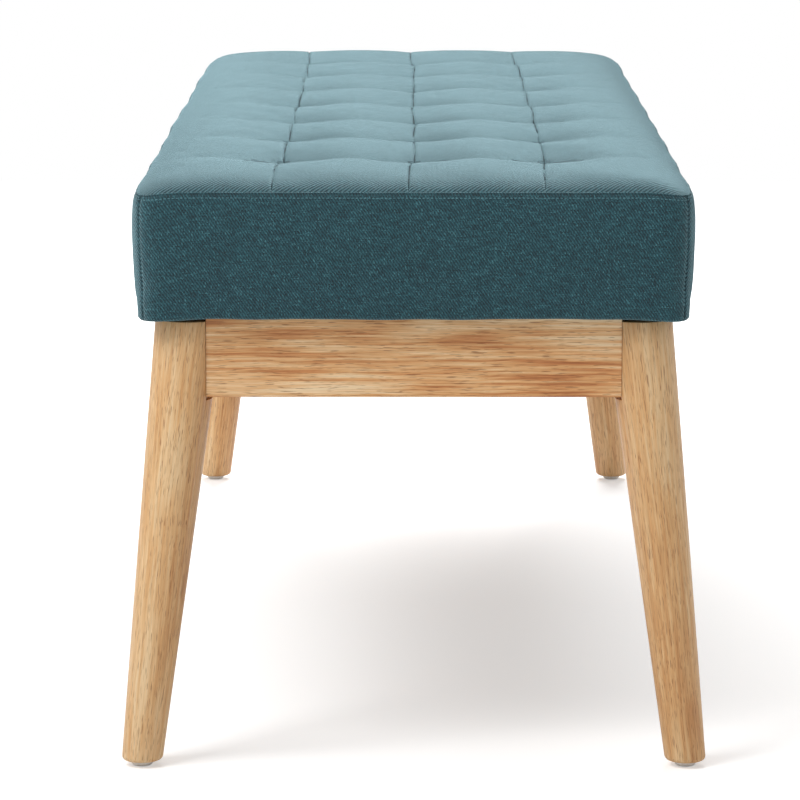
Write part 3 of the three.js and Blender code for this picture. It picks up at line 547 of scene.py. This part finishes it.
def ring_drops():
    """How far down the cloth each side ring lies, from the top seam to the hem's end under the board."""
    near_seam = [0.0004, 0.0008, 0.0016, 0.003, stitch_drop, 0.005, 0.0075]
    even = [0.005 * k for k in range(2, 19)]
    near_hem = [0.0965]
    fold = [hem_drop + hem_radius * turn for turn in (0.5, 1.05, math.pi / 2)]
    under = [hem_drop + 0.012, hem_drop + turn_under]
    return np.array(near_seam + even + near_hem + [hem_drop] + fold + under)


def settle(top, rings, xs, ys, downs, run):
    """Moves the fine grid's points as the simulated cloth moved the coarse grid's."""
    old_xs, old_ys, old_downs, top_travel, side_travel = settled()
    top += sampled(sampled(top_travel, old_xs, xs, 0), old_ys, ys, 1)
    old_rim = rim_of(len(old_xs), len(old_ys))
    old_gx, old_gy = np.meshgrid(old_xs, old_ys, indexing="ij")
    old_run = rim_run(old_gx.ravel()[old_rim], old_gy.ravel()[old_rim])
    old_run = np.append(old_run, 4 * (seam_half[0] + seam_half[1]))
    side_travel = np.concatenate([side_travel, side_travel[:, :1]], 1)
    rim_travel = top_travel.reshape(-1, 3)[old_rim]
    side_travel = np.concatenate([np.append(rim_travel, rim_travel[:1], 0)[None], side_travel])
    side_travel = sampled(side_travel, old_run, run, 1)
    rings += sampled(side_travel, np.append(0, old_downs), downs, 0)


def press_top(top, gx, gy, rim):
    """Presses the lengthwise seams into the top. Returns each point's painted shading: painted shade along
    the seams and round the tufts, and below zero a painted highlight along the rim."""
    end, side = inside_rim(gx, gy)
    dx, dy = to_tuft(gx, gy)
    past = np.clip(1 - end / tuft_pitch[0], 0, 1) ** 0.5
    between = np.abs(np.sin(np.pi * dx / tuft_pitch[0]))
    # Each seam strays in its own way.
    stray = seam_stray * between * ripples(gx, 9 * np.round((gy - dy) / tuft_pitch[1]), 0.2, 51)
    top[..., 1] += (stray - seam_drift * past) * np.exp(-((dy / stray_reach) ** 2))
    seam_line = np.exp(-((dy / groove_width) ** 2))
    seam_line = seam_line * np.clip(np.minimum(end, side) / groove_start, 0, 1)
    # A seam is pulled tighter in some places than in others, and tightest by the tufts.
    tightness = (0.7 + 0.3 * ripples(gx, gy, 0.05, 41)) * (0.8 + 0.2 * np.exp(-np.abs(dx) / 0.04))
    top[..., 2] -= groove_depth * seam_line * np.clip(tightness, 0.2, 1)
    # Painted shade round each tuft, and along each seam as far as it is pulled tight.
    tuft_shade = tuft_shade_strength * np.exp(-np.hypot(dx / tuft_shade_reach[0], dy / tuft_shade_reach[1]))
    painted_shading = np.clip(np.maximum(seam_line * np.clip(tightness, 0, 1), tuft_shade), 0, tuft_shade_strength).ravel()
    # Below zero is painted highlight: the top seam's rim is painted paler.
    painted_shading[rim] = -0.6
    return painted_shading


def press_rings(rings, downs, x, y, ways):
    """Presses the seams and the stitch lines into the side panels. Returns each point's painted shading:
    painted shade in the pressed lines, and below zero a painted highlight on the top seam's lip.
    """
    corner_line = np.exp(-((to_corner(x, y) / corner_groove[0]) ** 2))
    painted_shading = []
    for down, ring in zip(downs, rings):
        lines = [math.exp(-(((down - place) / width) ** 2)) for place, width, _ in press_lines]
        press = sum(depth * line for (_, _, depth), line in zip(press_lines, lines))
        press = press + corner_groove[1] * corner_line
        ring[:, 0] -= press * ways[0]
        ring[:, 1] -= press * ways[1]
        # Each line's depth sets its painted shade, the fold gets more painted shade, and the lip, which
        # stands out, gets a painted highlight.
        painted_shading.append(np.clip(press / full_shade_depth + fold_painted_shade * lines[0], -0.6, 0.9))
    return np.ravel(painted_shading)


def panel_places(x, y, downs):
    """Places on the cloth of the side panels' faces: along each panel, and down from the top seam."""
    places = []
    lines = np.append(0, downs)
    for upper, lower in zip(lines[:-1], lines[1:]):
        for k in range(len(x)):
            after = (k + 1) % len(x)
            across = x if abs(abs(x[k] + x[after]) / 2 - seam_half[0]) > 1e-9 else y
            left, right = across[k], across[after]
            places += [(left, -upper), (left, -lower), (right, -lower), (right, -upper)]
    return places


def cushion_mesh(name):
    """The cushion as one closed form: the top's grid, the rings of its sides and the hem under the board.

    Returns its mesh and the lines that the stitching follows, each as points and ways out.
    """
    close = (0.0005, 0.0011, 0.0026)
    xs = grid_lines(seam_half[0], tuft_pitch[0], tuft_rows, 28, close)
    ys = grid_lines(seam_half[1], tuft_pitch[1], tuft_columns, 20, close)
    downs = ring_drops()
    top, rings, rim, x, y, ways = cushion_parts(xs, ys, downs)
    settle(top, rings, xs, ys, downs, rim_run(x, y))
    # Seams and stitch lines are pressed in after the cloth has settled.
    gx, gy = np.meshgrid(xs, ys, indexing="ij")
    painted_shading = np.concatenate([press_top(top, gx, gy, rim), press_rings(rings, downs, x, y, ways)])
    points = np.concatenate([top.reshape(-1, 3), rings.reshape(-1, 3)])
    faces = cushion_faces(top.shape[:2], rim, len(rings))
    mesh = bpy.data.meshes.new(name)
    mesh.from_pydata(points.tolist(), [], faces)
    # The weave runs along X on the top, and along each side panel.
    flat_top = np.stack([gx.ravel(), gy.ravel()], -1)
    top_places = flat_top[np.array(faces[:(len(xs) - 1) * (len(ys) - 1)])].reshape(-1, 2)
    bottom_places = [(points[k][0], points[k][1]) for k in faces[-1]]
    places = np.concatenate([top_places, panel_places(x, y, downs), bottom_places])
    layer = mesh.uv_layers.new(name="cloth")
    layer.data.foreach_set("uv", places.astype(np.float32).ravel())
    attribute = mesh.attributes.new("painted_shading", "FLOAT", "POINT")
    attribute.data.foreach_set("value", painted_shading.astype(np.float32))
    # Finishes by number: 0 the cloth with all its fuzz, which the top seam's own fold keeps, 1 a copy with
    # less fuzz, painted shade for the side panels and round the pressed places, 2 one with almost none,
    # painted shade for the seams and the tufts
    panels_start = top[..., 0].size + 3 * len(rim)
    finishes = []
    for face in faces:
        press = painted_shading[list(face)].mean()
        finishes.append(2 if press > 0.5 else int(max(face) >= panels_start or press > 0.3))
    mesh.polygons.foreach_set("material_index", finishes)
    mesh.update()
    # The line of the topstitching, and the four corner seams
    outward = np.stack([ways[0], ways[1], 0 * x], -1)
    stitched = rings[downs == stitch_drop][0]
    lines = [(np.append(stitched, stitched[:1], 0), np.append(outward, outward[:1], 0))]
    for place in np.where(to_corner(x, y) < 1e-9)[0]:
        span = (downs > 0.008) & (downs < hem_drop - 0.006)
        lines.append((rings[span, place], np.repeat(outward[place:place + 1], span.sum(), 0)))
    return mesh, lines


def point_on(line, run, place):
    """The point of a line that lies so far along it. `run` is how far along each of its own points lies."""
    return Vector([np.interp(place, run, line[:, axis]) for axis in range(3)])


def add_stitches(name, lines, finish):
    """Stitches along lines, each a point and a way out for every step, half sunk in the cloth."""
    bpy.ops.object.select_all(action="DESELECT")
    bpy.ops.mesh.primitive_uv_sphere_add(
        segments=6, ring_count=4, radius=0.5, rotation=(0, math.pi / 2, 0))
    pattern = bpy.context.active_object
    bpy.ops.object.transform_apply(location=False, rotation=True, scale=False)
    pattern.scale = (stitch_length, stitch_width, stitch_width)
    bpy.ops.object.transform_apply(location=False, rotation=False, scale=True)
    copies = []
    for points, ways in lines:
        run = np.concatenate([[0], np.cumsum(np.linalg.norm(np.diff(points, axis=0), axis=1))])
        count = int(run[-1] / stitch_pitch)
        for k in range(count):
            start, end = [(k + share) * run[-1] / count for share in (0, stitch_share)]
            first, last = point_on(points, run, start), point_on(points, run, end)
            way = point_on(ways, run, start).normalized()
            along = (last - first).normalized()
            across = way.cross(along).normalized()
            turn = Matrix((along, across, along.cross(across))).transposed().to_4x4()
            copy = pattern.copy()
            copy.data = pattern.data.copy()
            copy.data.transform(Matrix.Translation((first + last) / 2) @ turn)
            scene.collection.objects.link(copy)
            copies.append(copy)
    bpy.data.objects.remove(pattern)
    bpy.ops.object.select_all(action="DESELECT")
    for copy in copies:
        copy.select_set(True)
    stitches = copies[0]
    bpy.context.view_layer.objects.active = stitches
    bpy.ops.object.join()
    stitches.name = stitches.data.name = name
    bpy.ops.object.shade_smooth()
    give_finish(stitches, finish)
    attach(stitches, "root")


def add_cushion():
    """The tufted cushion with its cover and its stitching."""
    mesh, lines = cushion_mesh("tufted_cushion")
    cushion = bpy.data.objects.new("tufted_cushion", mesh)
    scene.collection.objects.link(cushion)
    # The weave stands up most on the top. The two copies with less fuzz are painted shade: one darkens the
    # side panels and the edges of the pressed places, the other the seams and the tufts.
    for finish, fuzz, relief in (
        ("heathered_twill", 1.0, 0.0012), ("shaded_panel_twill", 0.6, 0.0006), ("shaded_crease_twill", 0.1, 0.0006),
    ):
        cushion.data.materials.append(upholstery_cloth(finish, fuzz, relief))
    point_outwards(cushion)
    bpy.ops.object.shade_smooth()
    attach(cushion, "root")
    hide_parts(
        "cover_top", "cover_side_back", "cover_side_front", "cover_end_left", "cover_end_right",
        "foam_pad")
    # Bonded polyester thread: paler than the cloth, with a slight gloss
    thread = mottled("bonded_polyester_thread", 900.0, "47757f", "6c9aa4", (0.45, 0.6), 0.0001)
    add_stitches("boxing_topstitches", lines[:1], thread)
    add_stitches("corner_seam_stitches", lines[1:], thread)


# Frame


def enter_edit(piece, keep=None):
    """Goes into edit mode with every vertex selected, or only those whose place passes the test."""
    select_only(piece)
    bpy.ops.object.mode_set(mode="EDIT")
    bpy.ops.mesh.select_mode(type="VERT")
    bpy.ops.mesh.select_all(action="SELECT" if keep is None else "DESELECT")
    if keep is None:
        return
    bpy.ops.object.mode_set(mode="OBJECT")
    for vertex in piece.data.vertices:
        vertex.select = keep(vertex.co)
    bpy.ops.object.mode_set(mode="EDIT")


def leave_edit():
    """Back to object mode."""
    bpy.ops.object.mode_set(mode="OBJECT")


def cut_away(piece, cutter):
    """Cuts one piece with another, and removes the cutter."""
    select_only(piece)
    cut = piece.modifiers.new("cut", "BOOLEAN")
    cut.object = cutter
    cut.solver = "EXACT"
    bpy.ops.object.modifier_apply(modifier=cut.name)
    bpy.data.objects.remove(cutter)


def block(low, high, turn=0.0, pivot=(0.0, 0.0)):
    """A block between two corners, turned about an upright axis through the pivot."""
    bpy.ops.object.select_all(action="DESELECT")
    size = [b - a for a, b in zip(low, high)]
    middle = Vector([(a + b) / 2 for a, b in zip(low, high)])
    about = Vector((*pivot, 0))
    place = about + Matrix.Rotation(turn, 3, "Z") @ middle
    bpy.ops.mesh.primitive_cube_add(size=1, scale=size, location=place, rotation=(0, 0, turn))
    return bpy.context.active_object


def rod(radius, start, end, sides=24):
    """A round rod between two points."""
    bpy.ops.object.select_all(action="DESELECT")
    run = Vector(end) - Vector(start)
    bpy.ops.mesh.primitive_cylinder_add(
        vertices=sides, radius=radius, depth=run.length, location=(Vector(start) + Vector(end)) / 2,
        rotation=run.to_track_quat("Z", "Y").to_euler(),
    )
    return bpy.context.active_object


def settle_in_place(piece, name):
    """Names a piece, and writes its place into its mesh."""
    select_only(piece)
    bpy.ops.object.transform_apply(location=True, rotation=True, scale=True)
    piece.name = name
    piece.data.name = name


def round_edges(piece, width, angle, segments=2):
    """Rounds the edges that are sharper than an angle in degrees, and smooths the rest."""
    select_only(piece)
    rounding = piece.modifiers.new("rounding", "BEVEL")
    rounding.width = width
    rounding.segments = segments
    rounding.limit_method = "ANGLE"
    rounding.angle_limit = math.radians(angle)
    bpy.ops.object.modifier_apply(modifier=rounding.name)
    bpy.ops.object.shade_smooth_by_angle(angle=math.radians(40))


# Corners of the bench, as the way out from its middle
corners = {
    "back_right": (1, 1), "back_left": (-1, 1), "front_right": (1, -1), "front_left": (-1, -1),
}


def to_corners(piece, family):
    """Repeats a piece modelled at the back right corner at the other three."""
    made = {}
    for corner, (along, across) in corners.items():
        copy = piece.copy()
        copy.data = piece.data.copy()
        copy.name = copy.data.name = f"shaped_{family}_{corner}"
        scene.collection.objects.link(copy)
        copy.data.transform(Matrix.Diagonal((along, across, 1, 1)))
        if along * across < 0:
            copy.data.flip_normals()
        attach(copy, "root")
        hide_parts(f"{family}_{corner}")
        made[corner] = copy
    bpy.data.objects.remove(piece)
    return made


def add_legs():
    """Turned, splayed legs, each with a notch that takes the aprons."""
    foot_radius = 0.016
    top_radius = 0.0266
    foot_ease = 0.0035
    shoulder_offset = 0.0134
    ledge_gap = 0.0025
    chamfer = 0.012
    edge_ease = 0.0006
    overrun = 0.06
    end_low, end_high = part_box("end_apron_right")
    shoulder = Vector((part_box("side_apron_back")[1].x + fit_gap, end_high.y + fit_gap))
    top, bottom = leg_high.z, leg_low.z
    length = top - bottom
    glide_low, glide_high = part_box("glide_back_right")
    foot = (glide_low + glide_high) / 2
    lean = Vector((foot.x - shoulder.x - shoulder_offset, foot.y - shoulder.y - shoulder_offset))
    bpy.ops.object.select_all(action="DESELECT")
    bpy.ops.mesh.primitive_cone_add(
        vertices=96, radius1=foot_radius, radius2=top_radius, depth=length,
        location=(foot.x, foot.y, bottom + length / 2),
    )
    leg = bpy.context.active_object
    settle_in_place(leg, "leg_pattern")
    enter_edit(leg, lambda p: p.z > top - 1e-5)
    bpy.ops.transform.translate(value=(-lean.x, -lean.y, 0))
    leave_edit()
    enter_edit(leg, lambda p: p.z < bottom + 1e-5)
    bpy.ops.mesh.bevel(offset=foot_ease, segments=5, affect="EDGES")
    leave_edit()
    ledge = end_low.z - ledge_gap
    axis = shoulder + Vector((shoulder_offset, shoulder_offset))
    beside_x = block(
        (shoulder.x - overrun, axis.y - overrun, ledge), (shoulder.x, axis.y + overrun, top + overrun))
    cut_away(leg, beside_x)
    beside_y = block(
        (axis.x - overrun, shoulder.y - overrun, ledge), (axis.x + overrun, shoulder.y, top + overrun))
    cut_away(leg, beside_y)
    reach = chamfer / math.sqrt(2)
    inner = block((-overrun, -overrun, ledge), (reach, overrun, top + overrun), math.pi / 4, shoulder)
    cut_away(leg, inner)
    bolt_low, bolt_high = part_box("hanger_bolt_back_right")
    bolt_height = (bolt_low.z + bolt_high.z) / 2
    bolt_radius = (bolt_high.z - bolt_low.z) / 2 + fit_gap
    cut_away(leg, rod(bolt_radius, (*bolt_low.xy, bolt_height), (*bolt_high.xy, bolt_height)))
    nail = 0.0015
    cut_away(leg, rod(nail, (foot.x, foot.y, bottom - nail), (foot.x, foot.y, glide_high.z + fit_gap)))
    round_edges(leg, edge_ease, 50)
    return to_corners(leg, "leg")


def add_glides(finish):
    """Nailed floor glides: a plastic button with a round edge, and its nail."""
    rim_radius, floor_radius, height = 0.010, 0.007, 0.004
    nail_radius = 0.0012
    floor_ease, rim_ease = 0.0012, 0.0004
    low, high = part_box("glide_back_right")
    place = (low + high) / 2
    bpy.ops.object.select_all(action="DESELECT")
    bpy.ops.mesh.primitive_cone_add(
        vertices=48, radius1=floor_radius, radius2=rim_radius, depth=height,
        location=(place.x, place.y, height / 2),
    )
    glide = bpy.context.active_object
    settle_in_place(glide, "glide_pattern")
    enter_edit(glide, lambda p: p.z < 1e-5)
    bpy.ops.mesh.bevel(offset=floor_ease, segments=4, affect="EDGES")
    leave_edit()
    enter_edit(glide, lambda p: p.z > height - 1e-5)
    bpy.ops.mesh.inset(thickness=rim_radius - nail_radius)
    bpy.ops.mesh.extrude_region_move(TRANSFORM_OT_translate={"value": (0, 0, high.z - height)})
    leave_edit()
    round_edges(glide, rim_ease, 50)
    for glide in to_corners(glide, "glide").values():
        give_finish(glide, finish)


def add_dust_cloth(finish):
    """The black cloth stapled under the board, with holes for the seat bolts. It waves very slightly between
    its staples."""
    thickness = 0.0006
    wave_height, wave_length = 0.0001, 0.12
    bolt_hole = 0.0033
    overrun = 0.005
    low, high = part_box("dust_cover")
    bpy.ops.object.select_all(action="DESELECT")
    bpy.ops.mesh.primitive_grid_add(x_subdivisions=120, y_subdivisions=40, size=1, location=(0, 0, low.z))
    dust = bpy.context.active_object
    dust.scale = (high.x - low.x, high.y - low.y, 1)
    settle_in_place(dust, "stapled_dust_cloth")
    places = np.empty(len(dust.data.vertices) * 3)
    dust.data.vertices.foreach_get("co", places)
    places = places.reshape(-1, 3)
    places[:, 2] += wave_height * ripples(places[:, 0], places[:, 1], wave_length, 8)
    dust.data.vertices.foreach_set("co", places.ravel())
    body = dust.modifiers.new("thickness", "SOLIDIFY")
    body.thickness = thickness
    body.offset = 1
    select_only(dust)
    bpy.ops.object.modifier_apply(modifier=body.name)
    for corner in corners:
        bolt_low, bolt_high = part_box("seat_bolt_" + corner)
        bolt = (bolt_low + bolt_high) / 2
        hole = rod(bolt_hole, (bolt.x, bolt.y, low.z - overrun), (bolt.x, bolt.y, high.z + overrun))
        cut_away(dust, hole)
    give_finish(dust, finish)
    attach(dust, "root")
    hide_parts("dust_cover")


def add_twines(finish):
    """Waxed twine from under the board up to each tuft, a little slack under it."""
    radius = 0.0009
    sides = 12
    for name, column in (("front", -1), ("middle", 0), ("back", 1)):
        low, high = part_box("tuft_twine_" + name)
        y = column * tuft_pitch[1]
        run = rod(radius, (low.x, y, low.z + radius), (high.x, y, low.z + radius), sides)
        ups = []
        for row in range(tuft_rows):
            x = (row - (tuft_rows - 1) / 2) * tuft_pitch[0]
            under_tuft = float(top_height(x, y)) - groove_depth - cloth_thickness
            ups.append(rod(radius, (x, y, low.z + radius / 2), (x, y, under_tuft), sides))
        for up in ups:
            join = run.modifiers.new("join", "BOOLEAN")
            join.operation = "UNION"
            join.object = up
            select_only(run)
            bpy.ops.object.modifier_apply(modifier=join.name)
            bpy.data.objects.remove(up)
        settle_in_place(run, "waxed_twine_" + name)
        bpy.ops.object.shade_smooth_by_angle(angle=math.radians(40))
        give_finish(run, finish)
        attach(run, "root")
        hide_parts("tuft_twine_" + name)


# Studio


def add_floor():
    """A white floor. The camera sees it a little paler than it is lit, and its shadows stay."""
    glow_seen = 0.34
    bpy.ops.object.select_all(action="DESELECT")
    bpy.ops.mesh.primitive_plane_add(size=7, location=(0, 0, 0))
    floor = bpy.context.active_object
    floor.name = "studio_floor"
    material, tree = new_material("white_paper_floor")
    seen = add_node(tree, "LightPath").outputs["Is Camera Ray"]
    strength = add_node(tree, "Math", {0: seen, 1: glow_seen}, operation="MULTIPLY")
    paper = add_node(tree, "BsdfDiffuse", {"Color": linear("f0f0f0")})
    glow = add_node(tree, "Emission", {"Color": (1, 1, 1, 1), "Strength": strength})
    both = add_node(tree, "AddShader", {0: paper, 1: glow})
    add_node(tree, "OutputMaterial", {"Surface": both})
    floor.data.materials.append(material)


def add_lamp(name, direction, distance, size, energy):
    """A square softbox that faces the bench from a direction."""
    bpy.ops.object.select_all(action="DESELECT")
    place = Vector(direction).normalized() * distance + Vector((0, 0, 0.3))
    bpy.ops.object.light_add(type="AREA", location=place)
    lamp = bpy.context.active_object
    lamp.name = name
    lamp.data.size = size
    lamp.data.energy = energy
    lamp.rotation_euler = Vector(direction).to_track_quat("Z", "Y").to_euler()
    lamp.visible_camera = False


def add_world():
    """A pale room: dim as a lamp, white where it is seen."""
    world = bpy.data.worlds.new("pale_room")
    scene.world = world
    world.use_nodes = True
    tree = world.node_tree
    tree.nodes.clear()
    path = add_node(tree, "LightPath")
    seen = add_node(tree, "Math", {0: path.outputs["Is Camera Ray"], 1: path.outputs["Is Glossy Ray"]},
                    operation="MAXIMUM")
    seen = add_node(tree, "Math", {0: seen, 1: path.outputs["Is Transmission Ray"]}, operation="MAXIMUM")
    strength = add_node(tree, "Mix", {0: seen, 2: 0.54, 3: 1.0}, data_type="FLOAT")
    back = add_node(tree, "Background", {"Color": (1, 1, 1, 1), "Strength": strength})
    add_node(tree, "OutputWorld", {"Surface": back})


def add_camera():
    """The photo's camera: a long lens at the bench's short end, looking a little down."""
    bpy.ops.object.select_all(action="DESELECT")
    pitch, yaw = math.radians(9.332), math.radians(0.1424)
    bpy.ops.object.camera_add(
        location=(3.8093, -0.001356, 0.81325),
        rotation=(math.pi / 2 - pitch, 0, math.pi / 2 + yaw),
    )
    camera = bpy.context.active_object
    camera.data.lens = 188.48
    camera.data.sensor_width = 36
    # The frame of the photographed bench sits 3 mm beside its cushion, and this splits the difference.
    camera.data.shift_x = -1.85 / 800
    camera.data.clip_end = 200
    scene.camera = camera
    scene.view_settings.view_transform = "Standard"


def tree_place(number):
    """A different place in the tree for each board or leg, so that no two have the same figure."""
    return 0.37 * number, 0.113 * number, 0.071 * number


def dress_frame():
    """Gives each solid that stays its finish, and adds the pieces that take a solid's place."""
    # Bright zinc plating on mild steel: a cool, slightly clouded metal
    steel = mottled("zinc_plated_steel", 180.0, "a9aeb4", "c9ccd0", (0.28, 0.4), 0.00005, 1.0)
    # Raw plywood, peeled and sanded: dull, with soft clouds in its face veneer
    ply = mottled("raw_plywood", 60.0, "b08a58", "c9a574", (0.75, 0.85), 0.0003)
    # Moulded polyethylene: a waxy white
    plastic = mottled("moulded_polyethylene", 350.0, "e4ded6", "f6f2ec", (0.35, 0.55), 0.0001)
    # Spunbonded cloth: black, dull and slightly fibrous
    black = mottled("spunbonded_black_cloth", 900.0, "141416", "26272a", (0.9, 1.0), 0.0003)
    # Waxed twine: straw, with a faint gloss
    twine = mottled("waxed_twine", 1200.0, "a89c7c", "cfc4a2", (0.6, 0.8), 0.0003)
    add_glides(plastic)
    add_dust_cloth(black)
    add_twines(twine)
    pale_tones = ("9a6534", "c08a55", "cfa06b", "dab484", "e5cba2")
    warm_tones = ("9c5a2a", "c4814a", "d9a269", "e6bb89", "f0d3aa")
    leg_lean = 0.11  # of a leg's axis, and so of its grain, along the bench and across it
    for number, (corner, leg) in enumerate(add_legs().items()):
        along, across = corners[corner]
        grain = (-leg_lean * along, -leg_lean * across, 1)
        give_finish(leg, rubberwood(leg.name, grain, tree_place(number), 0.6, pale_tones))
    slots = {p["node"]: p["material_slot"] for p in frame["record"]["subparts"]}
    finishes = {"zinc_steel": steel, "plywood": ply}
    for number, (name, node) in enumerate(sorted(frame["nodes"].items())):
        slot = slots[name]
        if slot == "rubberwood" and not name.startswith("leg"):
            along = (1, 0, 0) if name.startswith("side") else (0, 1, 0)
            give_finish(node, rubberwood(name, along, tree_place(number), 1.0, warm_tones))
        elif slot in finishes:
            give_finish(node, finishes[slot])


add_camera()
add_world()
add_lamp("key_softbox", (0.61, -0.69, 1.0), 3.2, 1.4, 52)
add_lamp("back_softbox", (-1.0, 0.0, 0.7), 3.0, 1.6, 92)
add_floor()
dress_frame()
add_cushion()
